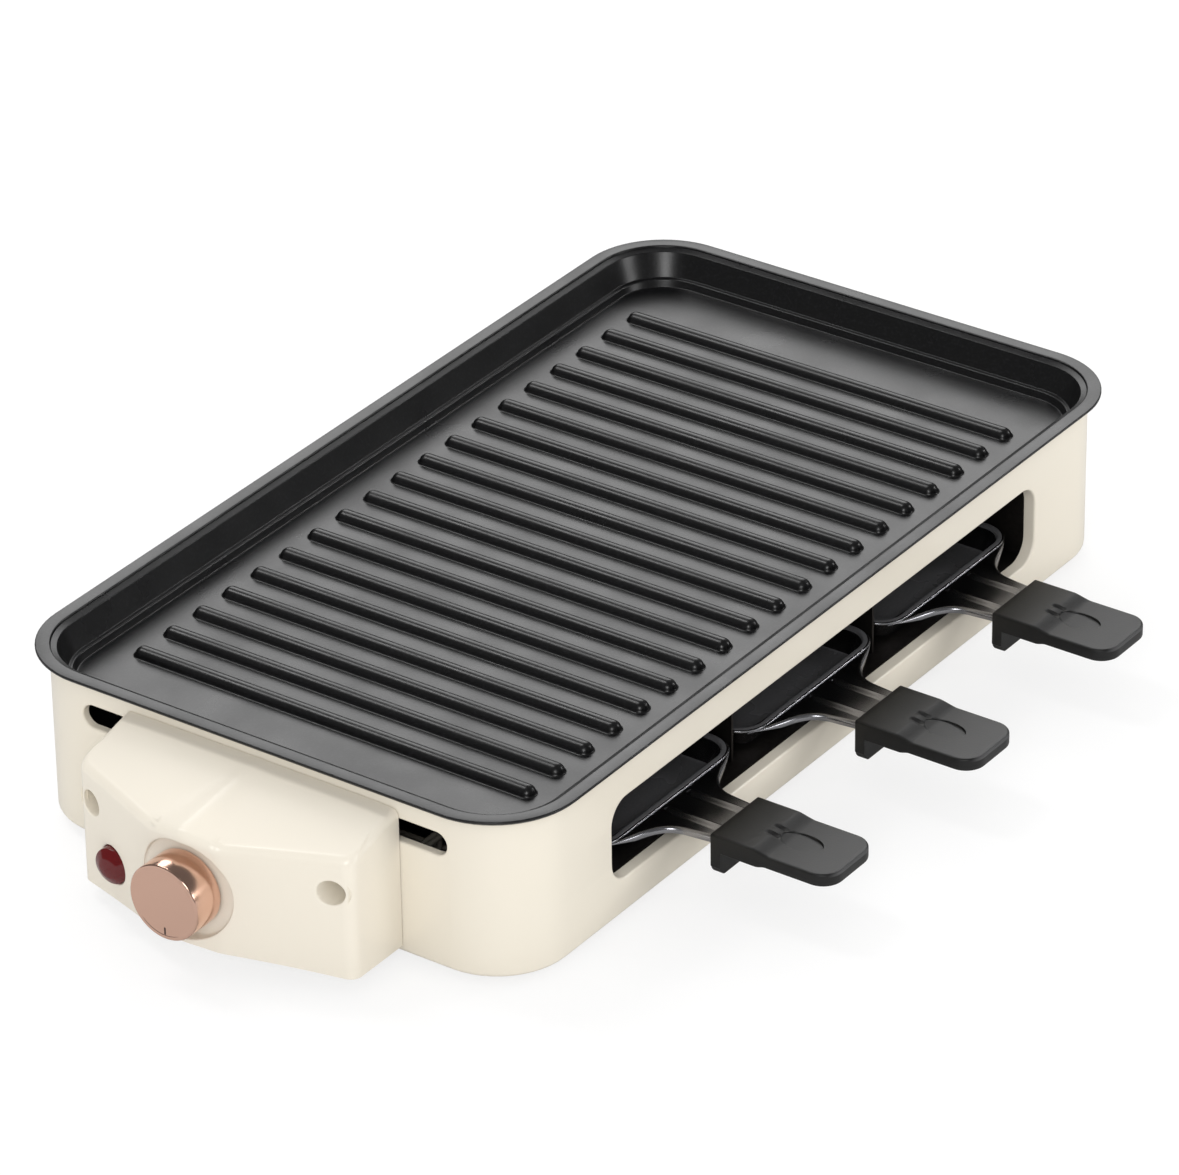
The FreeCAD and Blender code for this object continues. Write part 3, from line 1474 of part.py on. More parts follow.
def make_power_inlet():
    """Appliance socket set in the back wall, open to the outside."""
    back = "half_width"
    flange = block(
        "inlet_flange",
        ("-inlet_x - inlet_flange_width / 2", back, "inlet_height - inlet_flange_height / 2"),
        ("inlet_flange_width", "inlet_flange_thickness", "inlet_flange_height"),
    )
    shell = block(
        "inlet_shell",
        ("-inlet_x - inlet_body_width / 2", f"{back} - inlet_body_depth",
         "inlet_height - inlet_body_height / 2"),
        ("inlet_body_width", "inlet_body_depth", "inlet_body_height"),
    )
    cavity = block(
        "inlet_cavity",
        ("-inlet_x - inlet_body_width / 2 + inlet_wall", f"{back} - inlet_body_depth + inlet_wall",
         "inlet_height - inlet_body_height / 2 + inlet_wall"),
        ("inlet_body_width - inlet_wall * 2", "inlet_body_depth * 2",
         "inlet_body_height - inlet_wall * 2"),
    )
    slots = [inlet_pin("inlet_pin_slot", row, "pin_gap") for row in (-1, 0, 1)]
    solid = fuse([flange, shell], "inlet_solid")
    finish(cut(solid, fuse([cavity] + slots, "inlet_openings"), "power_inlet"), "power_inlet")


def pin_x(row):
    return "-inlet_x + pin_offset" if row == 0 else "-inlet_x"


def pin_z(row):
    return f"inlet_height + {row} * pin_spacing"


def inlet_pin(name, row, gap):
    """Flat blade through the inlet's inner wall, grown by a gap all round."""
    low = (
        f"{pin_x(row)} - pin_width / 2 - ({gap})",
        "half_width - inlet_body_depth - pin_tab_length",
        f"{pin_z(row)} - pin_height / 2 - ({gap})",
    )
    size = (f"pin_width + ({gap}) * 2", "pin_length", f"pin_height + ({gap}) * 2")
    return block(name, low, size)


def make_inlet_pins():
    group([inlet_pin("inlet_blade", row, "0") for row in (-1, 0, 1)], "inlet_pins")


def pole_y(row):
    return f"block_y + {row} * block_pole_pitch"


def make_terminal_block():
    """Three-pole block on the base plate, bored through for wires and clamp screws."""
    low = ("-block_x - block_width / 2", "block_y - block_length / 2", "base_top")
    case = block("block_case", low, ("block_width", "block_length", "block_height"))
    bores = []
    for row in (-1, 0, 1):
        start = ("-block_x - block_width", pole_y(row), "base_top + block_height / 2")
        bores.append(cylinder("block_wire_bore", "block_bore", "block_width * 2", start, (1, 0, 0)))
        top = ("-block_x", pole_y(row), "base_top + block_height / 2")
        bores.append(cylinder("block_clamp_bore", "block_screw_bore", "block_height", top, (0, 0, 1)))
    finish(cut(case, fuse(bores, "block_bores"), "terminal_block"), "terminal_block")


def make_wire_grommet():
    """Rubber ring in the housing wall where the wires pass into the control box."""
    core = "grommet_hole / 2 - grommet_groove_gap"
    lip = "grommet_hole / 2 + grommet_lip"
    wall_end = "grommet_lip + housing_wall"
    full = f"{wall_end} + grommet_lip"
    profile = [
        ("grommet_bore / 2", "0"),
        (lip, "0"),
        (lip, "grommet_lip"),
        (core, "grommet_lip"),
        (core, wall_end),
        (lip, wall_end),
        (lip, full),
        ("grommet_bore / 2", full),
    ]
    ring = turned("grommet_ring", profile)
    place = ("-(half_length + grommet_lip)", "-grommet_y", "grommet_height")
    group([set_at(ring, *place, (1, 0, 0))], "wire_grommet")


def wire(name, corners):
    points = [at(*corner) for corner in corners]
    return tube(name, points, number("wire_bend"), number("wire_diameter"))


def make_inlet_wires():
    """Three wires from the inlet's tabs, over and down into the terminal block."""
    start = "half_width - inlet_body_depth - pin_tab_length"
    drop = "-(block_x + inlet_wire_reach)"
    pole = "base_top + block_height / 2"
    wires = []
    for row in (-1, 0, 1):
        y, z = pole_y(-row), pin_z(row)
        corners = [
            (pin_x(row), start, z),
            (pin_x(row), y, z),
            (drop, y, z),
            (drop, y, pole),
            ("-(block_x + block_bore)", y, pole),
        ]
        wires.append(wire("inlet_wire", corners))
    group(wires, "inlet_wires")


def make_mains_wires():
    """Two wires from the terminal block, under the bay and into the control box."""
    pole = "base_top + block_height / 2"
    height = "grommet_height"
    side = "half_length + mains_wire_out"
    routes = []
    for row, lane, spread in ((0, "mains_lane", "-"), (1, "mains_lane - mains_lane_step", "+")):
        y = f"-(grommet_y {spread} mains_wire_spread)"
        routes.append([
            ("-(block_x - block_bore)", pole_y(row), pole),
            (f"-({lane})", pole_y(row), pole),
            (f"-({lane})", y, pole),
            (f"-({lane})", y, height),
            (f"-({side})", y, height),
        ])
    routes[0].append((f"-({side})", "-thermostat_width / 2", height))
    tab_side = "-(element_lead_y + terminal_width / 2)"
    routes[1].append((f"-({side})", "-(grommet_y + mains_wire_spread)", "element_height"))
    routes[1].append((f"-({side})", tab_side, "element_height"))
    group([wire("mains_wire", route) for route in routes], "mains_wires")


def make_element_wire():
    """Wire from the thermostat to the element's second terminal."""
    x = "-(half_length + mains_wire_out)"
    corners = [
        (x, "thermostat_width / 2", "grommet_height"),
        (x, "element_wire_y", "grommet_height"),
        (x, "element_wire_y", "element_height"),
        (x, "element_lead_y - terminal_width / 2", "element_height"),
    ]
    group([wire("element_lead_wire", corners)], "element_wire")


def make_lamp_wires():
    """Two wires from the lamp's socket, to the thermostat and to the terminal above it."""
    socket = "(lamp_diameter / 2 - lamp_wall - lamp_hole_gap / 2)"
    near = "-(half_length + lamp_wire_out)"
    far = "-(half_length + mains_wire_out)"
    across = [
        (near, f"lamp_y - {socket}", "lamp_height"),
        (near, "thermostat_width / 2", "lamp_height"),
    ]
    up = [
        (far, "lamp_y", f"lamp_height + {socket}"),
        (far, "lamp_y", "element_height"),
        (far, "element_lead_y + terminal_width / 2", "element_height"),
    ]
    group([wire("lamp_wire", across), wire("lamp_wire", up)], "lamp_wires")


def make_thermal_fuse():
    """Fuse sleeve on the wire that runs below the pan bay."""
    lane = "-(mains_lane - mains_lane_step)"
    start = (lane, "-fuse_length / 2", "base_top + block_height / 2")
    sleeve = cylinder("fuse_sleeve", "fuse_diameter", "fuse_length", start, (0, 1, 0))
    hole = cylinder("fuse_bore", "wire_diameter + fuse_gap * 2", "fuse_length", start, (0, 1, 0))
    finish(cut(sleeve, hole, "thermal_fuse"), "thermal_fuse")


# Whole grill


def make_grill():
    make_grill_plate()
    make_housing()
    make_base_plate()
    make_feet()
    make_foot_screws()
    make_base_screws()
    make_pan_bay()
    for side, sign in (("left", "-"), ("right", "")):
        make_bay_rail(f"bay_rail_{side}", f"{sign}rail_x")
        make_divider(f"divider_{side}", f"{sign}pan_pitch / 2")
    make_pan_stops()
    make_element_rests()
    make_heating_element()
    make_element_insulators()
    make_element_terminals()
    for side, x in (("left", "-pan_pitch"), ("centre", "0"), ("right", "pan_pitch")):
        make_pan(f"pan_{side}", x)
        make_handle(f"handle_{side}", x)
        make_handle_screws(f"handle_screws_{side}", x)
    make_control_box()
    make_control_box_floor()
    make_box_screws()
    make_thermostat()
    make_thermostat_bracket()
    make_bracket_screws()
    make_thermostat_nut()
    make_knob_cap()
    make_knob_hub()
    make_thermostat_shaft()
    make_lamp_lens()
    make_lamp_socket()
    make_lamp_bulb()
    make_power_inlet()
    make_inlet_pins()
    make_terminal_block()
    make_wire_grommet()
    make_inlet_wires()
    make_mains_wires()
    make_element_wire()
    make_lamp_wires()
    make_thermal_fuse()


def check_and_write():
    """Stop if anything failed to build, then write one file for each piece."""
    doc.recompute()
    for item in doc.Objects:
        if "Invalid" in item.State or "Error" in item.State:
            raise RuntimeError(f"{item.Name} is {item.State}")
    os.makedirs("parts", exist_ok=True)
    for item in nodes:
        shape = item.Shape
        if shape.isNull() or not shape.isValid() or not shape.Solids:
            raise RuntimeError(f"{item.Label} has no sound solid")
        shape.exportStep(f"parts/{item.Label}.step")


fill_sheet()
make_grill()
check_and_write()
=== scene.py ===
import bmesh
import bpy
import numpy as np
from mathutils import Matrix, Vector


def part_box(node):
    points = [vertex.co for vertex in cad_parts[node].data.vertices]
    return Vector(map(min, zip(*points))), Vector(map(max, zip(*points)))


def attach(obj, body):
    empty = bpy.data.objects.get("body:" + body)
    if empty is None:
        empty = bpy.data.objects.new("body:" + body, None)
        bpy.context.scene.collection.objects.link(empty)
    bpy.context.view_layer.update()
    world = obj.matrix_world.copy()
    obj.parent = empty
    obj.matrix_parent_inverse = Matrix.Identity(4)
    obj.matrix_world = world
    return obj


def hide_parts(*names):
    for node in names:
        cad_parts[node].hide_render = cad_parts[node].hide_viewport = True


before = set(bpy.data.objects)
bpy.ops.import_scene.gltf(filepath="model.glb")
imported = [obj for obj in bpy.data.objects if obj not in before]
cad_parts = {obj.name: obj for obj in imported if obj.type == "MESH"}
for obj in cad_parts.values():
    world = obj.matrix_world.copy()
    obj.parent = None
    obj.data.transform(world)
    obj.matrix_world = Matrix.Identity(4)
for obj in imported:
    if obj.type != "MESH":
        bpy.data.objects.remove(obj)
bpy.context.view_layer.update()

# Housing: one deep-drawn sheet of steel, open at the top, its window and vent slots turned
# inwards to a narrow return, and its foot folded to a lip. It is coated in cream enamel.
# All shapes are worked out in millimetres about the middle of this housing, table at zero.

low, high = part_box("housing")
middle = np.array([(low.x + high.x) / 2, (low.y + high.y) / 2, 0.0])
sheet_steel = 1.3


def quads(points, keep=None):
    """Four corners of every cell in a grid of points (rows, columns, 3); keep picks cells."""
    cells = np.stack([points[:-1, :-1], points[1:, :-1], points[1:, 1:], points[:-1, 1:]], 2)
    return cells.reshape(-1, 4, 3) if keep is None else cells[keep]


def piece_of(name, patches, material, sharp=40, thickness=0):
    """Join patches of four-cornered cells, given in mm, into one smooth piece.

    Corners closer than two thousandths of a millimetre become one. A thickness grows the skin
    inwards into a wall. Edges that turn by more than the sharp angle, in degrees, stay sharp.
    """
    corners = np.concatenate(patches).reshape(-1, 3) / 1000 + middle
    count = len(corners) // 4
    mesh = bpy.data.meshes.new(name)
    mesh.vertices.add(len(corners))
    mesh.vertices.foreach_set("co", corners.ravel())
    mesh.loops.add(len(corners))
    mesh.loops.foreach_set("vertex_index", np.arange(len(corners)))
    mesh.polygons.add(count)
    mesh.polygons.foreach_set("loop_start", np.arange(count) * 4)
    mesh.update(calc_edges=True)
    joined = bmesh.new()
    joined.from_mesh(mesh)
    bmesh.ops.remove_doubles(joined, verts=joined.verts, dist=2e-6)
    bmesh.ops.dissolve_degenerate(joined, edges=joined.edges, dist=1e-6)
    bmesh.ops.recalc_face_normals(joined, faces=joined.faces)
    joined.to_mesh(mesh)
    joined.free()
    piece = bpy.data.objects.new(name, mesh)
    bpy.context.scene.collection.objects.link(piece)
    if thickness:
        wall = piece.modifiers.new("wall", "SOLIDIFY")
        wall.thickness = thickness / 1000
        wall.offset = -1
        finished = piece.evaluated_get(bpy.context.evaluated_depsgraph_get())
        piece.data = bpy.data.meshes.new_from_object(finished)
        piece.modifiers.clear()
        bpy.data.meshes.remove(mesh)
        piece.data.name = name
    piece.data.materials.clear()
    piece.data.materials.append(material)
    piece.data.shade_smooth()
    piece.data.set_sharp_from_angle(angle=np.radians(sharp))
    return piece


def rounded(corners, steps=5):
    """Turn a line through (a, b, radius) corners into points, with an arc at each corner.

    Each arc runs between the two points where its circle touches the line: their directions
    from the circle's centre are turned into each other at an even pace.
    """
    corner = np.array(corners, float)
    points, radius = corner[:, :2], corner[:, 2]
    result = [points[:1]]
    for k in range(1, len(points) - 1):
        back, ahead = points[k - 1] - points[k], points[k + 1] - points[k]
        back, ahead = back / np.linalg.norm(back), ahead / np.linalg.norm(ahead)
        half = np.arccos(np.clip(back @ ahead, -1, 1)) / 2
        if radius[k] == 0 or half > np.pi / 2 - 1e-3:
            result.append(points[k:k + 1])
            continue
        reach = radius[k] / np.tan(half)
        bisector = (back + ahead) / np.linalg.norm(back + ahead)
        centre = points[k] + bisector * radius[k] / np.sin(half)
        start, end = points[k] + back * reach - centre, points[k] + ahead * reach - centre
        turn = np.pi - 2 * half
        share = np.linspace(0, 1, steps + 1)[:, None]
        arc = (start * np.sin((1 - share) * turn) + end * np.sin(share * turn)) / np.sin(turn)
        result.append(centre + arc)
    result.append(points[-1:])
    return np.concatenate(result)


def round_path(half_x, half_y, sides, steps=12):
    """Closed walk round a rectangle: points on it and the directions that point outwards.

    The four sides are walked anticlockwise from the front; each has its own stops. At a corner
    the point stays and the direction turns, so a reach added to it draws the rounded corner.
    """
    core, outward = [], []
    for k, stops in enumerate(sides):
        angle = (k - 1) * np.pi / 2
        out = np.array([np.cos(angle), np.sin(angle)])
        along = np.array([-out[1], out[0]])
        offset, half = (half_y, half_x) if k % 2 == 0 else (half_x, half_y)
        core.append(out * offset + along * np.asarray(stops)[:, None])
        outward.append(np.tile(out, (len(stops), 1)))
        turned = angle + np.linspace(0, np.pi / 2, steps + 1)[1:-1]
        core.append(np.tile(out * offset + along * half, (steps - 1, 1)))
        outward.append(np.stack([np.cos(turned), np.sin(turned)], 1))
    core.append(core[0][:1])
    outward.append(outward[0][:1])
    return np.concatenate(core), np.concatenate(outward)


def carried(path, profile):
    """Carry a profile of (reach, height) along a path: each point moves outwards by its reach."""
    core, outward = path
    reach, height = np.asarray(profile, float).T
    flat = core[:, None] + outward[:, None] * reach[:, None]
    return np.concatenate([flat, np.broadcast_to(height[:, None], flat.shape[:2] + (1,))], 2)


def grid_lines(*runs):
    """Sorted grid lines, each kept once."""
    return np.unique(np.round(np.concatenate(runs), 5))


def corner_lines(start, end, radius, steps=6):
    """Grid lines across the two rounded ends of an opening, at even angles round each end."""
    spread = radius * np.tan(np.linspace(0, np.pi / 4, steps + 1))
    return np.concatenate([start + radius - spread, end - radius + spread])


def rim_of(lines_a, lines_b, edges):
    """Grid points on the edges (low a, high a, low b, high b), walked once round."""
    a0, a1, b0, b1 = edges
    a = lines_a[(lines_a > a0 - 1e-4) & (lines_a < a1 + 1e-4)]
    b = lines_b[(lines_b > b0 - 1e-4) & (lines_b < b1 + 1e-4)]
    ring_a = np.concatenate([a, np.full(len(b) - 1, a1), a[-2::-1], np.full(len(b) - 1, a0)])
    ring_b = np.concatenate([np.full(len(a), b0), b[1:], np.full(len(a) - 1, b1), b[-2::-1]])
    return np.stack([ring_a, ring_b], 1)


def rounded_opening(rim, edges, radius):
    """For each rim point the nearest point of the opening's core, and the way out from it."""
    a0, a1, b0, b1 = edges
    core = np.clip(rim, [a0 + radius, b0 + radius], [a1 - radius, b1 - radius])
    outward = rim - core
    return core, outward / np.linalg.norm(outward, axis=1)[:, None]


def inside(lines_a, lines_b, edges):
    """Which grid cells lie within the edges."""
    a, b = (lines_a[:-1] + lines_a[1:]) / 2, (lines_b[:-1] + lines_b[1:]) / 2
    a0, a1, b0, b1 = edges
    return ((a > a0) & (a < a1))[:, None] & ((b > b0) & (b < b1))[None, :]


def linear(code):
    """Linear light of an sRGB colour written as a hex number, with full opacity."""
    parts = np.array([code >> 16, code >> 8 & 255, code & 255]) / 255
    light = np.where(parts <= 0.04045, parts / 12.92, ((parts + 0.055) / 1.055) ** 2.4)
    return (*light.tolist(), 1.0)


def surface(name, **settings):
    """Start a material: its node tree and its shader with the given settings."""
    material = bpy.data.materials.new(name)
    material.use_nodes = True
    tree = material.node_tree
    shader = tree.nodes["Principled BSDF"]
    for key, value in settings.items():
        shader.inputs[key.replace("_", " ")].default_value = value
    return material, tree, shader


def add(tree, kind, inputs, **settings):
    """Add a node with its settings, and fill or link its inputs by name or number."""
    node = tree.nodes.new("ShaderNode" + kind)
    for key, value in settings.items():
        setattr(node, key, value)
    for key, value in inputs.items():
        if isinstance(value, bpy.types.NodeSocket):
            tree.links.new(value, node.inputs[key])
        else:
            node.inputs[key].default_value = value
    return node


def enamel_coat(name, colour, shade, roughness):
    """Fired or sprayed cream coat: a faint orange-peel ripple and slightly uneven gloss.

    The ripple's real pitch is about 1.5 mm, drawn at 2 mm so that it shows; the colour drifts
    by a shade over some 60 mm, and gloss by a few hundredths over 25 mm.
    """
    material, tree, shader = surface(name, IOR=1.5, Coat_Weight=0.12, Coat_Roughness=0.15)
    place = add(tree, "TexCoord", {}).outputs["Object"]
    drift = add(tree, "TexNoise", {"Vector": place, "Scale": 1 / 0.06, "Detail": 2.0})
    tint = add(tree, "Mix", {0: drift.outputs[0], 6: linear(colour), 7: linear(shade)},
               data_type="RGBA")
    tree.links.new(tint.outputs[2], shader.inputs["Base Color"])
    patch = add(tree, "TexNoise", {"Vector": place, "Scale": 1 / 0.025, "Detail": 3.0})
    gloss = add(tree, "MapRange", {0: patch.outputs[0], 1: 0.3, 2: 0.7,
                                   3: roughness - 0.02, 4: roughness + 0.03})
    tree.links.new(gloss.outputs[0], shader.inputs["Roughness"])
    peel = add(tree, "TexNoise", {"Vector": place, "Scale": 1 / 0.002, "Detail": 1.0})
    ripple = add(tree, "Bump", {"Height": peel.outputs[0], "Strength": 0.05, "Distance": 0.0003})
    tree.links.new(ripple.outputs[0], shader.inputs["Normal"])
    return material


cream_enamel = enamel_coat("cream_enamel", 0xEEE7D8, 0xEBE3D3, 0.3)

core_x, core_y = 187.5, 90.3
shell_reach = 31.8
shell_foot, shell_top, foot_lip = 4.0, 76.3, 14.0
foot_round, top_round, turned_edge = 2.0, 1.2, 1.0
wall_lines, bend_lines = 9, 13
window = (-155.25, 155.25, 20.1, 56.7)
window_round, window_return = 10.0, 5.4
slots = [(-89.2, -50.0, 55.0, 65.1), (50.0, 89.2, 55.0, 65.1)]
slot_round, slot_return = 5.0, 3.6
inlet_x, inlet_z, inlet_half_x, inlet_half_z = -172.0, 38.0, 10.2, 13.9
inlet_hole = (-inlet_x - inlet_half_x, -inlet_x + inlet_half_x,
              inlet_z - inlet_half_z, inlet_z + inlet_half_z)
inlet_round, inlet_return = 1.5, 1.4


def widened(edges, margin):
    """Edges of an opening moved outwards by a margin on all four sides."""
    a0, a1, b0, b1 = edges
    return a0 - margin, a1 + margin, b0 - margin, b1 + margin


def wall_point(side, along, height, depth=0.0):
    """Place on a flat side of the housing: so far along it, so high, so deep behind its face."""
    angle = (side - 1) * np.pi / 2
    out = np.array([np.cos(angle), np.sin(angle)])
    reach = (core_y if side % 2 == 0 else core_x) + shell_reach
    along, height, depth = np.broadcast_arrays(along, height, depth)
    flat = out * (reach - depth)[..., None] + np.array([-out[1], out[0]]) * along[..., None]
    return np.concatenate([flat, height[..., None]], -1)


# The front has the window, each end a pair of slots, and the back the inlet's hole.
openings = [
    [(window, window_round, window_return)],
    [(slot, slot_round, slot_return) for slot in slots],
    [(inlet_hole, inlet_round, inlet_return)],
    [(slot, slot_round, slot_return) for slot in slots],
]
levels = [np.linspace(shell_foot + foot_round, shell_top - top_round, wall_lines)]
stops = []
for side, holes in enumerate(openings):
    half = core_x if side % 2 == 0 else core_y
    lines = [np.linspace(-half, half, wall_lines)]
    for edges, radius, depth in holes:
        wide = widened(edges, turned_edge)
        lines.append(corner_lines(wide[0], wide[1], radius + turned_edge))
        levels.append(corner_lines(wide[2], wide[3], radius + turned_edge))
    stops.append(grid_lines(*lines))
levels = grid_lines(*levels)

shell = []
for side, holes in enumerate(openings):
    lines = stops[side]
    closed = np.ones((len(lines) - 1, len(levels) - 1), bool)
    for edges, radius, depth in holes:
        wide, radius = widened(edges, turned_edge), radius + turned_edge
        closed &= ~inside(lines, levels, wide)
        rim = rim_of(lines, levels, wide)
        core, outward = rounded_opening(rim, wide, radius)
        edge = rounded([(radius, 0, 0), (radius - turned_edge, 0, turned_edge),
                        (radius - turned_edge, depth, 0)])
        ring = core[:, None] + outward[:, None] * edge[:, 0, None]
        shell.append(quads(wall_point(side, ring[..., 0], ring[..., 1], edge[:, 1])))
        outline = core + outward * radius
        skirt = np.stack([rim, outline], 1)
        shell.append(quads(wall_point(side, skirt[..., 0], skirt[..., 1])))
    flat = wall_point(side, lines[:, None], levels[None, :])
    shell.append(quads(flat, closed))

wall_path = round_path(core_x, core_y, stops)
corner = np.linspace(0, np.pi / 2, bend_lines)
for side in range(4):
    angle = (side - 1) * np.pi / 2 + corner
    centre = np.array([[1, -1], [1, 1], [-1, 1], [-1, -1]][side]) * (core_x, core_y)
    bend = (np.tile(centre, (bend_lines, 1)), np.stack([np.cos(angle), np.sin(angle)], 1))
    shell.append(quads(carried(bend, np.stack([np.full(len(levels), shell_reach), levels], 1))))
top_edge = rounded([(shell_reach, shell_top - top_round, 0), (shell_reach, shell_top, top_round),
                    (shell_reach - top_round, shell_top, 0)])
foot_edge = rounded([(shell_reach, shell_foot + foot_round, 0),
                     (shell_reach, shell_foot, foot_round),
                     (shell_reach - foot_lip, shell_foot, 0)])
shell += [quads(carried(wall_path, top_edge)), quads(carried(wall_path, foot_edge))]
housing = piece_of("housing_shell", shell, cream_enamel, thickness=sheet_steel)
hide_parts("housing")
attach(housing, "base")

# Grill plate: a heavy tray die-cast in aluminium, with nineteen half-round ribs that end in
# balls short of the tray's wall, and a flat rim that rests on the housing. Its non-stick
# coat is sprayed and baked: nearly black, satin, and faintly speckled.


def non_stick_coat(name, colour, speck, roughness):
    """Sprayed non-stick coat: its pimples are about 0.4 mm across, drawn at 1 mm to show."""
    material, tree, shader = surface(name, IOR=1.5)
    place = add(tree, "TexCoord", {}).outputs["Object"]
    fleck = add(tree, "TexNoise", {"Vector": place, "Scale": 1 / 0.0012, "Detail": 2.0})
    share = add(tree, "MapRange", {0: fleck.outputs[0], 1: 0.5, 2: 0.75, 3: 0.0, 4: 0.7})
    tint = add(tree, "Mix", {0: share.outputs[0], 6: linear(colour), 7: linear(speck)},
               data_type="RGBA")
    tree.links.new(tint.outputs[2], shader.inputs["Base Color"])
    drift = add(tree, "TexNoise", {"Vector": place, "Scale": 1 / 0.03, "Detail": 3.0})
    gloss = add(tree, "MapRange", {0: drift.outputs[0], 1: 0.3, 2: 0.7,
                                   3: roughness - 0.04, 4: roughness + 0.05})
    tree.links.new(gloss.outputs[0], shader.inputs["Roughness"])
    grain = add(tree, "TexNoise", {"Vector": place, "Scale": 1 / 0.001, "Detail": 1.0})
    pimple = add(tree, "Bump", {"Height": grain.outputs[0], "Strength": 0.08, "Distance": 0.0002})
    tree.links.new(pimple.outputs[0], shader.inputs["Normal"])
    return material


plate_coat = non_stick_coat("non_stick_coating", 0x0E0E0F, 0x202022, 0.3)

floor_height, tray_under, rim_top = 62.8, 60.6, 78.6
floor_reach, plate_reach = 21.2, 37.5
rib_radius, root_round, rib_pitch, rib_count, rib_half = 3.8, 0.8, 19.25, 19, 98.3
ball_y = rib_half - rib_radius
cell_x, cell_y = rib_pitch / 2, 101.0
end_gap = cell_y - ball_y
field_x = rib_pitch * rib_count / 2

# One rib with the floor round it: a rectangle of floor drawn in to the rib's outline, up
# its root and over its crown to the line along its middle.
widest = np.arctan2(end_gap, cell_x)
fan = end_gap / np.tan(np.linspace(widest, np.pi - widest, 13))
fan[0], fan[-1] = cell_x, -cell_x
across = np.sort(fan)
side_run = np.concatenate([np.linspace(-cell_y, -ball_y, 6)[:-1], np.linspace(-ball_y, ball_y, 13),
                           np.linspace(ball_y, cell_y, 6)[1:]])
rim = rim_of(across, side_run, (-cell_x, cell_x, -cell_y, cell_y))
core = np.stack([np.zeros(len(rim)), np.clip(rim[:, 1], -ball_y, ball_y)], 1)
outward = (rim - core) / np.linalg.norm(rim - core, axis=1)[:, None]
crown_start = 0.2
crown = np.linspace(crown_start, np.pi / 2, 9)
root = rounded([(rib_radius + root_round * 1.5, 0, 0), (rib_radius, 0, root_round),
                (rib_radius * np.cos(crown_start),
                 rib_radius * np.sin(crown_start) + 0.1, 0)], 3)
profile = np.concatenate([root[:-1], np.stack([np.cos(crown), np.sin(crown)], 1) * rib_radius])
ring = core[:, None] + outward[:, None] * profile[:, 0, None]
rows = np.concatenate([rim[:, None], ring], 1)
heights = floor_height + np.concatenate([[0], profile[:, 1]])
rib = np.concatenate([rows, np.broadcast_to(heights[:, None], rows.shape[:2] + (1,))], 2)
plate = []
rib_places = (np.arange(rib_count) - (rib_count - 1) / 2) * rib_pitch
for place in rib_places:
    plate.append(quads(rib + [place, 0, 0]))

field_lines = grid_lines(*[across + place for place in rib_places])
stretch_x, stretch_y = core_x / field_x, core_y / cell_y
plate_sides = [field_lines * stretch_x, side_run * stretch_y] * 2
plate_path = round_path(core_x, core_y, plate_sides, 16)
field_edge = plate_path[0] / (stretch_x, stretch_y)
floor_edge = plate_path[0] + plate_path[1] * floor_reach
border = np.stack([field_edge, floor_edge], 1)
floor_level = np.full(border.shape[:2] + (1,), floor_height)
plate.append(quads(np.concatenate([border, floor_level], 2)))

# From the floor up the leaning wall and its shoulder, over the step to the rim, round the
# rim's edge, and down the outside of the tray to its underside.
tray = rounded([
    (floor_reach, floor_height, 0), (21.9, floor_height, 0.6), (22.9, 66.2, 0.8),
    (24.7, 66.2, 0.5), (28.7, 76.8, 0.5), (31.3, 77.6, 0.25), (31.3, rim_top, 0.7),
    (plate_reach, rim_top, 0.45), (plate_reach, 77.6, 0.3), (36.5, 76.6, 0.2), (30.1, 76.6, 0.8),
    (24.5, tray_under, 2.0), (21.0, tray_under, 0), (0, tray_under, 0),
])
plate.append(quads(carried(plate_path, tray)))
under_x, under_y = np.meshgrid(plate_sides[0], plate_sides[1], indexing="ij")
plate.append(quads(np.stack([under_x, under_y, np.full_like(under_x, tray_under)], 2)))
grill_plate = piece_of("ribbed_plate", plate, plate_coat, sharp=50)
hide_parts("grill_plate")
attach(grill_plate, "plate")

# Control box: a cover moulded in cream ABS, screwed to one end wall. Its roof slopes from the
# wall to a crease, and a gable over the knob stands out of it. It has a dish for the knob,
# two screw wells and a round hole for the pilot lamp.

cream_plastic = enamel_coat("cream_moulded_abs", 0xEFE8D9, 0xEDE5D6, 0.34)

box_half, box_back, roof_height = 67.0, 0.4, 70.0
wing, nose, peak = (31.0, 67.0), (50.1, 16.0), (53.0, 0.0)
wing_top, nose_top, peak_top = 61.6, 60.2, 63.2
wing_foot, nose_foot, peak_foot = 7.4, 12.0, 13.4
crease_round, front_half, wing_bend = 3.4, 65.6, 4.4
ridge_ease, wing_ease, gable_ease, foot_bow = 0.3, 1.6, 1.0, 0.5
roof_taper, cover_sheet = 0.9, 2.0
plan = rounded([(box_back, -box_half, 0), (wing[0], -wing[1], 6), (nose[0], -nose[1], 9),
                (peak[0], 0, 7), (nose[0], nose[1], 9), (wing[0], wing[1], 6),
                (box_back, box_half, 0)], 12)
front_plan = plan[plan[:, 0] > wing[0] - wing_bend]


def plane_through(*corners):
    """Height of the plane through three (reach, y, height) corners, as a function of place."""
    system = np.array([(reach, y, 1) for reach, y, height in corners], float)
    slope = np.linalg.solve(system, [height for reach, y, height in corners])
    return lambda reach, y: slope[0] * reach + slope[1] * y + slope[2]


def eased(a, b, width, sign):
    """Larger (sign 1) or smaller (sign -1) of two heights, eased over a width where they meet."""
    gap = np.abs(a - b)
    apart = np.where(gap < width, (gap ** 2 + width ** 2) / (4 * width), gap / 2)
    return (a + b) / 2 + sign * apart


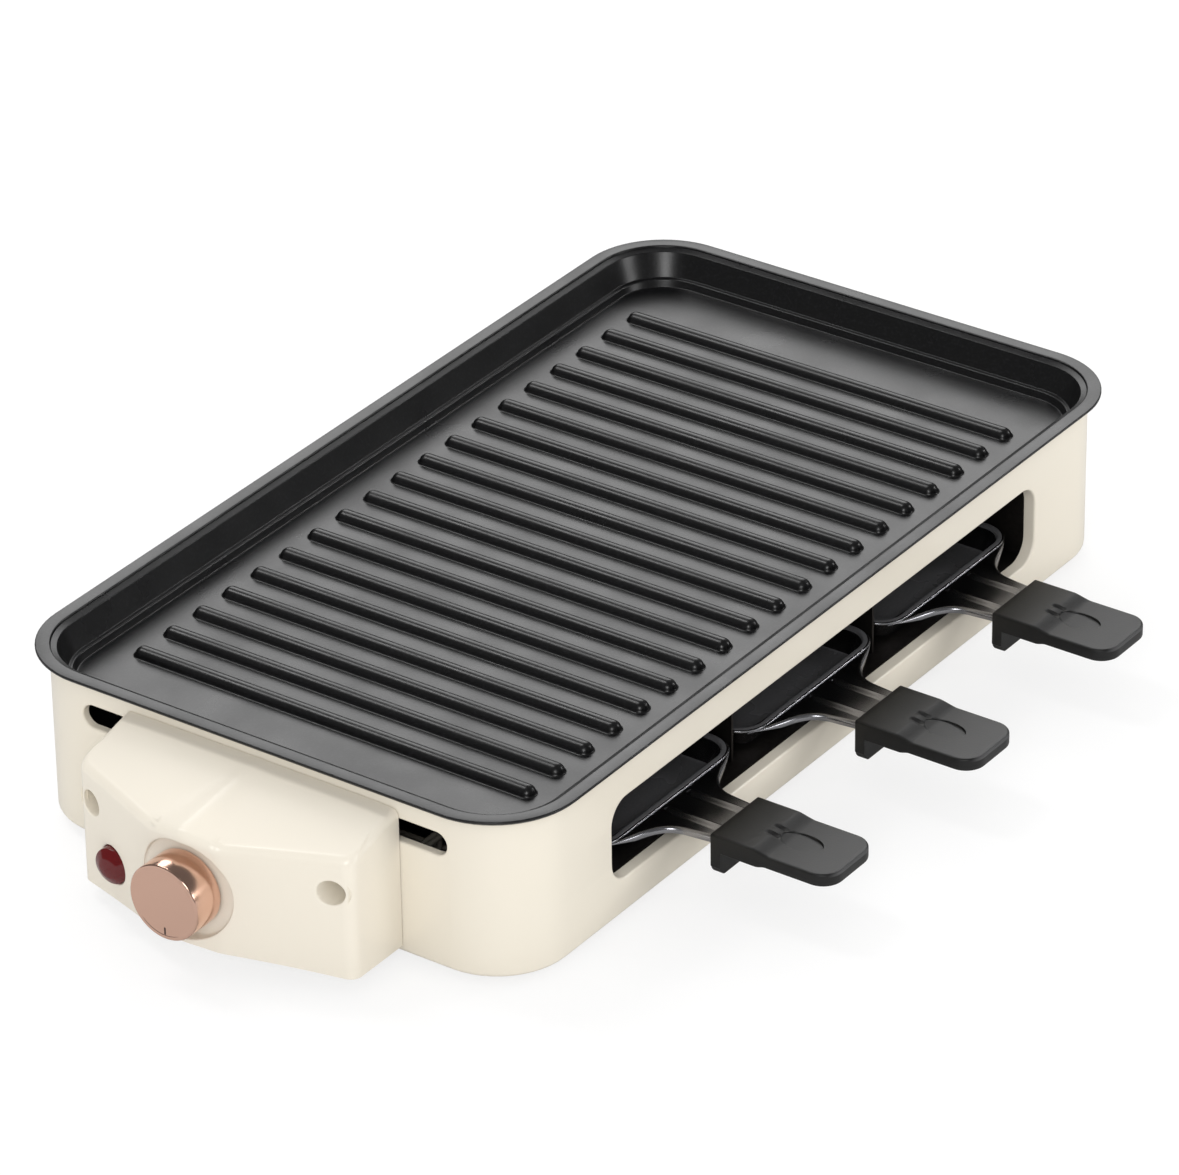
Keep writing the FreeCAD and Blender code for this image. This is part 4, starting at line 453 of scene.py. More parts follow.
eave = plane_through((box_back, box_half, roof_height), (*wing, wing_top), (*nose, nose_top))
slope = plane_through((box_back, box_half, roof_height), (*nose, nose_top),
                      (box_back, 0, roof_height))
gable = plane_through((box_back, 0, roof_height), (*nose, nose_top), (*peak, peak_top))


def roof(reach, y):
    """Height of the roof: the lower of its slope and eaves, with the gable standing above."""
    y = np.sqrt(y ** 2 + ridge_ease)
    wings = eased(slope(reach, y), eave(reach, y), wing_ease, -1)
    return eased(wings, gable(reach, y), gable_ease, 1)


def box_foot(y):
    """Lower edge of the cover: it rises from the wings to the peak in shallow eased bends."""
    y = np.abs(y)
    base = np.interp(y, [0, nose[1], wing[1]], [peak_foot, nose_foot, wing_foot])
    share = np.clip((wing[1] - y) / (wing[1] - nose[1]), 0, 1)
    return base + foot_bow * np.sin(share * np.pi)


def box_front(y):
    """How far the front stands out from the end wall at a place across it."""
    return np.interp(y, front_plan[:, 1], front_plan[:, 0])


def box_point(reach, y, height):
    """Point of the box: reach from the end wall, place across, height."""
    reach, y, height = np.broadcast_arrays(reach, y, height)
    return np.stack([-(core_x + shell_reach) - reach, y, height], -1)


# Each round hole: place across, height, radius, lip, floor's reach, inner end, floor's fillet.
# They are the dish for the knob, the two screw wells and the lamp's hole.
dish_radius, dish_plane, knob_height, well_wall = 21.7, 47.3, 36.6, 1.2
lamp_y, lamp_z, lamp_seat = 44.4, 25.7, 33.0
screw_y, screw_z, screw_seat = 58.7, 46.3, 8.0
round_holes = [
    (0.0, knob_height, dish_radius, 0.6, dish_plane, 4.5, 0.8),
    (-screw_y, screw_z, 5.4, 0.7, screw_seat, 2.0, 0.0),
    (screw_y, screw_z, 5.4, 0.7, screw_seat, 2.0, 0.0),
    (lamp_y, lamp_z, 8.1, 0.5, lamp_seat, 6.5, 0.0),
]
# The grid lines round the dish reach a little further down and up than the first ones.
low_line, stretch_line, high_line = 16.0, 53.0, 56.4
front_lines = [np.linspace(-front_half, front_half, 45)]
height_lines = [np.linspace(low_line, high_line, 9)]
for across, height, radius, lip, *rest in round_holes:
    wide = radius + lip
    front_lines.append(corner_lines(across - wide, across + wide, wide, 8))
    height_lines.append(corner_lines(height - wide, height + wide, wide, 8))
front_lines = grid_lines(*front_lines)
height_lines = grid_lines(*height_lines)
low_line, high_line = height_lines[0], height_lines[-1]


def front_point(y, height):
    """Point on the front; heights above a line are stretched so that the top follows the crease."""
    top = roof(box_front(y), y) - crease_round
    above = np.maximum(height - stretch_line, 0) / (high_line - stretch_line)
    level = np.minimum(height, stretch_line) + above * (top - stretch_line)
    return box_point(box_front(y), y, level)


# A circle is an opening whose core is all but a point, so its radius falls short by a hair.
hair, least_wall = 1e-3, 0.02
keep = np.ones((len(front_lines) - 1, len(height_lines) - 1), bool)
cover = []
for across, height, radius, lip, bottom, inner_end, fillet in round_holes:
    wide = radius + lip
    edges = (across - wide, across + wide, height - wide, height + wide)
    keep &= ~inside(front_lines, height_lines, edges)
    rim = rim_of(front_lines, height_lines, edges)
    core, outward = rounded_opening(rim, edges, wide - hair)
    circle = core + outward * wide
    share = np.linspace(0, 1, 5)[:, None]
    outer = front_point(rim[:, 0], rim[:, 1])[:, None]
    inner = box_point(box_front(circle[:, 0]), circle[:, 0], circle[:, 1])[:, None]
    skirt = outer * (1 - share) + inner * share
    skirt[..., 0] = -(core_x + shell_reach) - box_front(skirt[..., 1])
    turn = np.linspace(0, np.pi / 2, 5)
    edge = core[:, None] + outward[:, None] * (wide - lip * np.sin(turn))[:, None]
    sink = np.clip(box_front(edge[..., 0]) - bottom - least_wall, 0, lip) * (1 - np.cos(turn))
    face = box_front(edge[..., 0]) - sink
    floor = rounded([(radius, bottom + well_wall, 0), (radius, bottom, fillet),
                     (inner_end, bottom, 0)], 4)
    rows = core[:, None] + outward[:, None] * floor[:, 0, None]
    depth = np.minimum(floor[:, 1], face[:, -1:])
    lip_rows = box_point(face, edge[..., 0], edge[..., 1])
    well = np.concatenate([lip_rows[:, -1:], box_point(depth, rows[..., 0], rows[..., 1])], 1)
    cover += [quads(skirt), quads(lip_rows), quads(well)]
cover.append(quads(front_point(front_lines[:, None], height_lines[None, :]), keep))

# The rest of the wall above and below the front grid, the sides, and the roof from the
# rounded crease to the line along the housing.
outside = np.concatenate([plan[plan[:, 1] < -front_half - 1e-6],
                          np.stack([box_front(front_lines), front_lines], 1),
                          plan[plan[:, 1] > front_half + 1e-6]])
outside = np.concatenate([
    np.stack([np.linspace(box_back, plan[1, 0], 7)[:-1], np.full(6, -box_half)], 1),
    outside[(outside[:, 0] > box_back + 1e-6)],
    np.stack([np.linspace(plan[1, 0], box_back, 7)[1:], np.full(6, box_half)], 1),
])
tangent = np.gradient(outside, axis=0)
tangent /= np.linalg.norm(tangent, axis=1)[:, None]
out_way = np.stack([tangent[:, 1], -tangent[:, 0]], 1)
eaves = roof(outside[:, 0], outside[:, 1])
foot = box_foot(outside[:, 1])
share = np.linspace(0, 1, 4)[None, :]
below = foot[:, None] * (1 - share) + low_line * share
cover.append(quads(box_point(outside[:, :1], outside[:, 1:], below)))
above = np.clip((height_lines - stretch_line) / (high_line - stretch_line), 0, None)[None, :]
raised = (eaves - crease_round - stretch_line)[:, None]
side_rows = np.minimum(height_lines, stretch_line) + above * raised
for side in (-1, 1):
    part = outside[:, 1] * side > front_half - 1e-6
    cover.append(quads(box_point(outside[part, :1], outside[part, 1:], side_rows[part])))

target = np.stack([np.full(len(outside), box_back), outside[:, 1] * roof_taper], 1)
toward = target - outside
depth = np.maximum(-(toward * out_way).sum(1), 1e-3)
turn = np.linspace(0, np.pi / 2, 9)
rounding = crease_round * (1 - np.cos(turn))
share = np.clip(rounding[None, :] / depth[:, None], 0, 1)
rest = share[:, -1:] + (1 - share[:, -1:]) * np.linspace(0, 1, 15)[1:]
share = np.concatenate([share, rest], 1)
place = outside[:, None] + toward[:, None] * share[..., None]
gone = np.clip(crease_round - share * depth[:, None], 0, None)
drop = crease_round - np.sqrt(np.clip(crease_round ** 2 - gone ** 2, 0, None))
top = roof(place[..., 0], place[..., 1]) - drop
cover.append(quads(box_point(place[..., 0], place[..., 1], top)))
control_box = piece_of("control_box_cover", cover, cream_plastic, sharp=50,
                       thickness=cover_sheet)
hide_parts("control_box")
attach(control_box, "base")

# Knob: a cap turned from aluminium, polished and anodised rose gold, with faint marks of the
# lathe. It is pushed onto the thermostat's shaft; a short dark line in its face marks the setting.

knob_back, knob_front, knob_radius = 48.3, 63.6, 16.5

turned_metal, tree, shader = surface("rose_gold_anodised_aluminium", Metallic=1.0,
                                     Roughness=0.17)
shader.inputs["Base Color"].default_value = linear(0xEBC2AE)
place = add(tree, "TexCoord", {}).outputs["Object"]
reach = add(tree, "SeparateXYZ", {0: place}).outputs[0]
line = add(tree, "CombineXYZ", {0: reach}).outputs[0]
lathe = add(tree, "TexNoise", {0: line, "Scale": 1 / 0.0008, "Detail": 1.0})
ridges = add(tree, "Bump", {"Height": lathe.outputs[0], "Strength": 0.04, "Distance": 0.0002})
tree.links.new(ridges.outputs[0], shader.inputs["Normal"])


def spun(axis_place, profile, steps=72):
    """Turn a profile of (reach, radius) once round a line through axis_place, along the reach."""
    angle = np.linspace(0, 2 * np.pi, steps + 1)[:, None]
    reach, radius = np.asarray(profile, float).T
    y, z = axis_place
    return box_point(reach, y + radius * np.sin(angle), z + radius * np.cos(angle))


face_drop = 0.15
cap = rounded([(knob_back, 0, 0), (knob_back, knob_radius - 0.4, 0.4),
               (knob_back + 1.2, knob_radius, 0.4), (knob_front, knob_radius, 0.7),
               (knob_front, knob_radius - 1.6, 0.3),
               (knob_front - face_drop, knob_radius - 1.9, 0.3),
               (knob_front - face_drop, 0, 0)], 4)
knob = piece_of("knob_cap_turned", [quads(spun((0, knob_height), cap))], turned_metal, sharp=35)
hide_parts("knob_cap")
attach(knob, "knob")

index_paint, tree, shader = surface("dark_index_paint", Roughness=0.6)
shader.inputs["Base Color"].default_value = linear(0x3A2A24)
mark_low, mark_high = knob_height - knob_radius + 2.0, knob_height - knob_radius + 5.2
mark_half, mark_back, mark_face = 0.45, knob_front - 0.3, knob_front - 0.12
mark = rounded([(mark_back, 0.0, 0), (mark_back, mark_half, 0), (mark_face, mark_half, 0.08),
                (mark_face, -mark_half, 0.08), (mark_back, -mark_half, 0),
                (mark_back, 0.0, 0)], 2)
ends = np.array([mark_low, mark_low, mark_high, mark_high])
spread = np.array([0, 1, 1, 0])
bar = box_point(mark[:, None, 0] * spread + mark_back * (1 - spread),
                mark[:, None, 1] * spread, ends[None, :])
index_mark = piece_of("knob_index_mark", [quads(bar)], index_paint)
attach(index_mark, "knob")

# Pilot lamp: a domed lens moulded in clear red plastic and pressed into its hole, dull while
# the lamp behind it is out.

red_lens, tree, shader = surface("red_polycarbonate_lens", Roughness=0.12, IOR=1.58)
shader.inputs["Base Color"].default_value = linear(0x5E0C10)
lens_radius, lens_shoulder, lens_tip = 7.85, 41.0, 44.4
lens_profile = rounded([(lamp_seat, 0, 0), (lamp_seat, lens_radius, 0),
                        (lens_shoulder, lens_radius, 0.5), (43.2, 4.4, 3.0), (lens_tip, 0, 0)], 5)
lens = piece_of("pilot_lens", [quads(spun((lamp_y, lamp_z), lens_profile, 48))], red_lens,
                sharp=60)
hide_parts("lamp_lens")
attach(lens, "base")

# Pans: three small trays pressed from steel sheet and coated black, with a narrow flat rim.
# The front runs out in a tang whose edges are turned down and which has two pressed ribs.

pan_steel, tree, shader = surface("dark_polished_pan_steel", Metallic=1.0)
place = add(tree, "TexCoord", {}).outputs["Object"]
cloud = add(tree, "TexNoise", {"Vector": place, "Scale": 1 / 0.012, "Detail": 3.0})
tint = add(tree, "Mix", {0: cloud.outputs[0], 6: linear(0x9C9CA0), 7: linear(0xA6A6AA)},
           data_type="RGBA")
tree.links.new(tint.outputs[2], shader.inputs["Base Color"])
gloss = add(tree, "MapRange", {0: cloud.outputs[0], 1: 0.3, 2: 0.7, 3: 0.22, 4: 0.27})
tree.links.new(gloss.outputs[0], shader.inputs["Roughness"])
pan_coat = non_stick_coat("black_pan_coating", 0x606062, 0x68686A, 0.26)

pan_places = {"left": -103.5, "centre": 0.0, "right": 103.5}
pan_top, pan_floor, pan_under, coat_lift, pan_middle_y = 32.0, 21.5, 20.5, 0.08, -39.75
pan_core_x, pan_core_y, pan_reach = 35.5, 61.0, 14.0
pan_stops = [np.linspace(-pan_core_x, pan_core_x, 9), np.linspace(-pan_core_y, pan_core_y, 13)] * 2
pan_path = round_path(pan_core_x, pan_core_y, pan_stops, 14)
rim_and_wall = rounded([(pan_reach - 0.6, pan_top - 1.0, 0), (pan_reach, pan_top - 0.9, 0.3),
                        (pan_reach - 0.1, pan_top, 0.35), (11.0, pan_top, 0.9),
                        (7.2, pan_floor, 2.4), (0, pan_floor, 0)], 6)
# The underside follows one sheet below, and the coat lies on the inside from the rim inwards.
shell_under = rounded([(0, pan_under, 0), (6.4, pan_under, 3.0), (10.0, pan_top - 1.0, 0.4),
                       (pan_reach - 0.6, pan_top - 1.0, 0)], 6)
pan_profile = np.concatenate([shell_under, rim_and_wall[1:]])
coat_profile = rounded([(13.0, pan_top + coat_lift, 0), (10.9, pan_top + coat_lift, 0.9),
                        (7.1, pan_floor + coat_lift, 2.4), (0, pan_floor + coat_lift, 0)], 6)
core_grid_x, core_grid_y = np.meshgrid(pan_stops[0], pan_stops[1], indexing="ij")
tang_top, lip_round, lip_drop, tang_sheet, coat_sheet = 31.5, 1.6, 2.6, 0.9, 0.12


def bezier(points, count):
    """Smooth curve pulled towards four points, the first and last of which it meets."""
    t = np.linspace(0, 1, count)[:, None]
    a, b, c, d = np.array(points, float)
    return a * (1 - t) ** 3 + 3 * b * t * (1 - t) ** 2 + 3 * c * t ** 2 * (1 - t) + d * t ** 3


neck, tang_foot = (16.1, -134.0), (14.6, -147.0)
side_line = np.concatenate([bezier([(45.2, -111.4), (32.0, -120.5), (17.2, -118.0), neck], 25),
                            np.linspace(neck, tang_foot, 9)[1:]])
slope_line = np.gradient(side_line, axis=0)
slope_line /= np.linalg.norm(slope_line, axis=1)[:, None]
away = np.stack([-slope_line[:, 1], slope_line[:, 0]], 1)
mid_rows = np.interp(np.linspace(0, 1, len(side_line)), [0, 0.3, 1], [-112.8, -119.0, -147.0])
inner_half, ridge_x, ridge_width, ridge_rise, ridge_start = 12.0, 7.8, 2.1, 1.5, -118.6
inner_lines = np.linspace(-inner_half, inner_half, 61)
grid_shape = (len(side_line), len(inner_lines))
spread = np.linspace(0, 1, 9)[1:, None]
edge_line = side_line - away * lip_round
rib_rows = np.stack([np.broadcast_to(inner_lines, grid_shape),
                     np.broadcast_to(mid_rows[:, None], grid_shape)], 2)
turn = np.linspace(0, np.pi / 2, 6)[1:]
wings = []
for side in (1, -1):
    start = np.stack([np.full(len(side_line), inner_half), mid_rows], 1)
    flat = start[:, None] + (edge_line - start)[:, None] * spread
    bent = edge_line[:, None] + away[:, None] * (lip_round * np.sin(turn))[:, None]
    level = np.concatenate([np.zeros(len(spread)), lip_round * (1 - np.cos(turn)), [lip_drop]])
    fade = np.clip(np.arange(len(side_line)) / 9, 0.12, 1)[:, None]
    heights = tang_top - level * fade
    plan_rows = np.concatenate([flat, bent, bent[:, -1:]], 1) * (side, 1)
    full = np.concatenate([plan_rows, heights[..., None]], 2)
    wings.append(full[:, ::-1] if side < 0 else full)
ridge_gap = np.abs(np.abs(rib_rows[..., 0]) - ridge_x)
ridge_end = np.clip(ridge_start - rib_rows[..., 1], None, 0)
ridge = np.clip(np.sqrt(ridge_gap ** 2 + ridge_end ** 2) / ridge_width, 0, 1)
rib_height = tang_top + ridge_rise * (0.5 + 0.5 * np.cos(np.pi * ridge)) ** 0.8
tang_middle = np.concatenate([rib_rows, rib_height[..., None]], 2)
tang = np.concatenate([wings[1], tang_middle, wings[0]], 1)

for name, x in pan_places.items():
    shift = np.array([x, pan_middle_y, 0])
    lower, upper, lining = [
        quads(np.stack([core_grid_x, core_grid_y, np.full_like(core_grid_x, z)], 2) + shift)
        for z in (pan_under, pan_floor, pan_floor + coat_lift)]
    wall = quads(carried(pan_path, pan_profile) + shift)
    pan = piece_of("pan_tray_" + name, [wall, lower, upper], pan_steel, sharp=50)
    coat = piece_of("pan_coat_" + name, [quads(carried(pan_path, coat_profile) + shift), lining],
                    pan_coat, sharp=50, thickness=coat_sheet)
    arm = piece_of("pan_tang_" + name, [quads(tang + [x, 0, 0])], pan_steel, sharp=50,
                   thickness=tang_sheet)
    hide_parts("pan_" + name)
    for piece in (pan, coat, arm):
        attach(piece, f"pan_{name}_body")

# Pan handles: moulded in black phenolic plastic, each screwed to its tang from below, with
# a skirt at the root, a step down to the grip and a shallow place for the thumb.

# The upper face turns matt, with a painted sheen, over the last few millimetres before the tip.
phenolic, tree, shader = surface("black_phenolic_plastic", IOR=1.5)
place = add(tree, "TexCoord", {}).outputs["Object"]
split = add(tree, "SeparateXYZ", {0: place})
matt_sheen_start, matt_sheen_end = middle[1] - np.array([197.76, 200.76]) / 1000
along = add(tree, "MapRange", {0: split.outputs[1], 1: matt_sheen_start, 2: matt_sheen_end, 3: 0.0, 4: 1.0})
flat = add(tree, "MapRange", {0: split.outputs[2], 1: 0.0311, 2: 0.0315, 3: 0.0, 4: 1.0})
matt_and_painted_sheen = add(tree, "Math", {0: along.outputs[0], 1: flat.outputs[0]},
           operation="MULTIPLY").outputs[0]
# Painted sheen: the upper face near the tip is coloured paler grey than the black plastic
# elsewhere; only the roughness change is the plastic's own.
tint = add(tree, "Mix", {0: matt_and_painted_sheen, 6: linear(0x0C0C0C), 7: linear(0x4A4A4B)}, data_type="RGBA")
tree.links.new(tint.outputs[2], shader.inputs["Base Color"])
gloss = add(tree, "MapRange", {0: matt_and_painted_sheen, 1: 0.0, 2: 1.0, 3: 0.42, 4: 0.55})
tree.links.new(gloss.outputs[0], shader.inputs["Roughness"])
grain = add(tree, "TexNoise", {"Vector": place, "Scale": 1 / 0.0008, "Detail": 1.0})
pimple = add(tree, "Bump", {"Height": grain.outputs[0], "Strength": 0.1, "Distance": 0.0002})
tree.links.new(pimple.outputs[0], shader.inputs["Normal"])

grip_half, grip_root, grip_tip, grip_edge, tip_round = 17.0, -144.0, -200.4, 0.9, 9.0
flat_half = grip_half - grip_edge
flat_root, flat_tip = grip_root - grip_edge, grip_tip + grip_edge
skirt_back, tip_arc = -149.0, tip_round - grip_edge
arc = np.linspace(0, np.pi / 2, 14)
fan = np.linspace(0, np.pi / 2, 5)
slope_start, slope_end, slope_drop, root_top = 163.6, 171.4, 1.5, 34.1
groove_x, groove_half, groove_depth = 2.7, 1.3, 0.9
skirt_foot, skirt_round, skirt_side, root_under, grip_rise = 15.8, 3.0, 13.1, 25.9, 1.1
oval_y, oval_half = -176.4, np.array([5.9, 9.4])
block = (oval_y - 10.0, oval_y + 10.0, -6.6, 6.6)
straight = grid_lines([-148.2, skirt_back + 0.05, skirt_back], np.linspace(-150.5, -158.8, 7),
                      block[:2], np.linspace(-159.2, flat_tip + tip_arc + 0.3, 70))[::-1]
row_y = np.concatenate([np.full(len(fan), flat_root), straight,
                        flat_tip + tip_arc * (1 - np.sin(arc))])
row_half = flat_half - np.concatenate([np.zeros(len(fan) + len(straight)),
                                       tip_arc * (1 - np.cos(arc))])
row_turn = np.concatenate([fan, np.full(len(straight), np.pi / 2), np.pi / 2 + arc])
columns = grid_lines(np.linspace(-1, 1, 71), np.array(block[2:]) / flat_half)
flat_x = row_half[:, None] * columns
flat_y = np.broadcast_to(row_y[:, None], flat_x.shape)


def stepped(value, start, end):
    """Rise from 0 to 1 between start and end, eased at both."""
    share = np.clip((value - start) / (end - start), 0, 1)
    return share * share * (3 - 2 * share)


def grip_top(x, y):
    """Upper face: level at the root, then a short slope down to the grip with two grooves."""
    groove = np.clip(1 - ((np.abs(x) - groove_x) / groove_half) ** 2, 0, 1)
    groove = groove * stepped(-y, 160.5, 164.5) * (1 - stepped(-y, 165.5, 168.5))
    even = np.clip((-y - slope_start) / (slope_end - slope_start), 0, 1)
    ramp = 0.6 * even + 0.4 * stepped(-y, slope_start, slope_end)
    return root_top - slope_drop * ramp - groove_depth * groove


def grip_bottom(x, y):
    """Lower face: the skirt's rounded foot, then the underside rising towards the grip."""
    outer = np.clip(np.abs(x) - skirt_side, 0, skirt_round)
    skirt = skirt_foot + skirt_round - np.sqrt(skirt_round ** 2 - outer ** 2)
    under = root_under + grip_rise * stepped(-y, 165, 170)
    return np.where(y > skirt_back + 0.01, skirt, under)


def walked(values):
    """Values on the edge of a grid, once round: root, right side, tip and left side."""
    return np.concatenate([values[0], values[1:, -1], values[-1, -2::-1], values[-2::-1, 0]])


# The oval for the thumb is cut out of the top as its own patch: a flat skirt round it, its
# wall, and a floor that lies deeper towards the tip.
beside = ~inside(row_y, columns * flat_half, block)
rim = rim_of(np.sort(row_y), columns * flat_half, block)[:, ::-1]
around = (rim - [0, oval_y]) / oval_half
around /= np.linalg.norm(around, axis=1)[:, None]
share = np.linspace(0, 1, 4)[:, None]
skirt = rim[:, None] * (1 - share) + (around * oval_half + [0, oval_y])[:, None] * share
size = np.concatenate([[1.0, 0.99, 0.97, 0.96, 0.93], np.linspace(0.85, 0.0, 7)])
sink = np.concatenate([[0.0, 0.08, 0.92], np.ones(9)])
bowl = around[:, None] * oval_half * size[:, None] + [0, oval_y]
depth = sink * (0.25 + 0.65 * stepped(oval_y + 8 - bowl[..., 1], 0, 13))
thumb = [quads(np.concatenate([part, (grip_top(part[..., 0], part[..., 1]) - fall)[..., None]], 2))
         for part, fall in ((skirt, 0.0), (bowl, depth))]

edge_x, edge_y = walked(flat_x), walked(flat_y)
way_x = walked(np.sin(row_turn)[:, None] * np.sign(columns + 1e-9))
way_y = walked(np.cos(row_turn)[:, None] * np.ones(len(columns)))
turn = np.linspace(0, np.pi / 2, 5)
band_reach = np.concatenate([grip_edge * np.sin(turn), grip_edge * np.cos(turn)])
band_z = np.concatenate([grip_top(edge_x, edge_y)[:, None] - grip_edge * (1 - np.cos(turn)),
                         grip_bottom(edge_x, edge_y)[:, None] + grip_edge * (1 - np.sin(turn))], 1)
grip = thumb + [
    quads(np.stack([flat_x, flat_y, grip_top(flat_x, flat_y)], 2), beside),
    quads(np.stack([flat_x, flat_y, grip_bottom(flat_x, flat_y)], 2)),
    quads(np.stack([edge_x[:, None] + way_x[:, None] * band_reach,
                    edge_y[:, None] + way_y[:, None] * band_reach, band_z], 2)),
]
for name, x in pan_places.items():
    handle = piece_of("pan_handle_" + name, [part + [x, 0, 0] for part in grip], phenolic, sharp=38)
    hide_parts("handle_" + name)
    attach(handle, f"pan_{name}_body")

# Inner parts, underside and screws: sheet metal, a tubular heater, moulded plastic, ceramic
# and rubber, fixed with zinc-plated screws. What shows of them through the window, from below
# or with the plate lifted keeps the solids' own shape and gets its finish here.


def bare_metal(name, colour, shade, roughness, spangle=0.0):
    """Bare or plated metal: rolled streaks, or the leaf-like spangle of hot-dip zinc.

    Spangle crystals are about 8 mm across; scratches and streaks are drawn at 2 mm.
    """
    material, tree, shader = surface(name, Metallic=1.0)
    place = add(tree, "TexCoord", {}).outputs["Object"]
    if spangle:
        leaf = add(tree, "TexVoronoi", {"Vector": place, "Scale": 1 / 0.008}).outputs["Color"]
        share = add(tree, "Math", {0: leaf, 1: spangle}, operation="MULTIPLY").outputs[0]
    else:
        streak = add(tree, "TexNoise", {"Vector": place, "Scale": 1 / 0.002, "Detail": 2.0})
        share = streak.outputs[0]
    tint = add(tree, "Mix", {0: share, 6: linear(colour), 7: linear(shade)}, data_type="RGBA")
    tree.links.new(tint.outputs[2], shader.inputs["Base Color"])
    gloss = add(tree, "MapRange", {0: share, 1: 0.0, 2: 1.0,
                                   3: roughness - 0.05, 4: roughness + 0.1})
    tree.links.new(gloss.outputs[0], shader.inputs["Roughness"])
    return material


def moulded(name, colour, roughness):
    """Moulded plastic, rubber or ceramic: a fine grain in the skin, drawn at about 0.8 mm."""
    material, tree, shader = surface(name, Roughness=roughness, IOR=1.5)
    place = add(tree, "TexCoord", {}).outputs["Object"]
    drift = add(tree, "TexNoise", {"Vector": place, "Scale": 1 / 0.01, "Detail": 2.0})
    darker = tuple(0.82 * part for part in linear(colour)[:3]) + (1.0,)
    tint = add(tree, "Mix", {0: drift.outputs[0], 6: linear(colour), 7: darker}, data_type="RGBA")
    tree.links.new(tint.outputs[2], shader.inputs["Base Color"])
    grain = add(tree, "TexNoise", {"Vector": place, "Scale": 1 / 0.0008, "Detail": 1.0})
    pimple = add(tree, "Bump", {"Height": grain.outputs[0], "Strength": 0.1, "Distance": 0.0002})
    tree.links.new(pimple.outputs[0], shader.inputs["Normal"])
    return material


galvanised = bare_metal("galvanised_steel", 0xC4C7C9, 0xA6A9AB, 0.34, spangle=0.8)
# Painted shade: the pan bay, its rails and the dividers get a dark sheet colour for the shaded
# inside of the housing.
shade_dark_sheet = bare_metal("bay_sheet_painted_shade", 0x4A4643, 0x3B3836, 0.5)
zinc_plate = bare_metal("zinc_plated_steel", 0xC9CBCB, 0xB4B6B6, 0.28)
sheath = bare_metal("heat_tinted_stainless_tube", 0x6B6560, 0x4E4A4A, 0.36)
brass = bare_metal("nickelled_brass", 0xD6C08A, 0xC8B078, 0.25)
rubber = moulded("black_rubber", 0x1E1E1E, 0.75)
ceramic = moulded("steatite_ceramic", 0xE8E0CF, 0.4)
black_nylon = moulded("black_nylon", 0x1B1B1C, 0.5)
white_nylon = moulded("white_nylon", 0xDAD7CF, 0.45)
sleeve = moulded("silicone_wire_sleeve", 0xB9B2A4, 0.5)
glass = moulded("frosted_bulb_glass", 0xD9D0C4, 0.2)
finishes = {
    galvanised: ["base_plate", "element_rests", "thermostat_bracket", "pan_stops"],
    shade_dark_sheet: ["pan_bay", "bay_rail_left", "bay_rail_right", "divider_left", "divider_right"],
    zinc_plate: ["foot_screws", "base_screws", "box_screws", "bracket_screws", "thermostat_nut",
                 "element_terminals", "handle_screws_left", "handle_screws_centre",
                 "handle_screws_right", "thermostat", "thermostat_shaft"],
    sheath: ["heating_element"],
    brass: ["inlet_pins"],
    rubber: ["foot_front_left", "foot_front_right", "foot_back_left", "foot_back_right",
             "wire_grommet"],
    ceramic: ["element_insulators"],
    black_nylon: ["power_inlet", "lamp_socket", "knob_hub"],
    white_nylon: ["terminal_block"],
    cream_plastic: ["control_box_floor"],
    sleeve: ["inlet_wires", "mains_wires", "element_wire", "lamp_wires", "thermal_fuse"],
    glass: ["lamp_bulb"],
}
for material, names in finishes.items():
    for name in names:
        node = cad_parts[name]
        if not node.material_slots:
            node.data.materials.append(material)
        for slot in node.material_slots:
            slot.material = material

# Studio: a plain pale floor that keeps the object's shadow, an even white surround, five soft
# lamps, and a camera at the place and angle of the photograph's.

floor_mesh = bpy.data.meshes.new("studio_floor")
side = 6.0
floor_mesh.from_pydata([(-side, -side, 0), (side, -side, 0), (side, side, 0), (-side, side, 0)],
                       [], [(0, 1, 2, 3)])
floor = bpy.data.objects.new("studio_floor", floor_mesh)
bpy.context.scene.collection.objects.link(floor)
floor_paint, tree, shader = surface("white_studio_floor", Roughness=0.9, Specular_IOR_Level=0.0)
shader.inputs["Base Color"].default_value = linear(0xF2F2F2)
seen = add(tree, "LightPath", {})
# The camera sees mostly the floor's own glow; glossy reflections see a third of it.
glow_level = add(tree, "Math", {0: seen.outputs["Is Camera Ray"], 1: 1.06}, operation="MULTIPLY")
glow = add(tree, "Emission", {"Color": linear(0xFFFFFF), "Strength": glow_level.outputs[0]})
camera_share = add(tree, "Math", {0: seen.outputs["Is Camera Ray"], 1: 0.72}, operation="MULTIPLY")
share = add(tree, "Math", {0: seen.outputs["Is Glossy Ray"], 1: 0.35, 2: camera_share.outputs[0]},
            operation="MULTIPLY_ADD")
mix = add(tree, "MixShader", {0: share.outputs[0], 1: shader.outputs[0], 2: glow.outputs[0]})
tree.links.new(mix.outputs[0], tree.nodes["Material Output"].inputs["Surface"])
floor_mesh.materials.append(floor_paint)

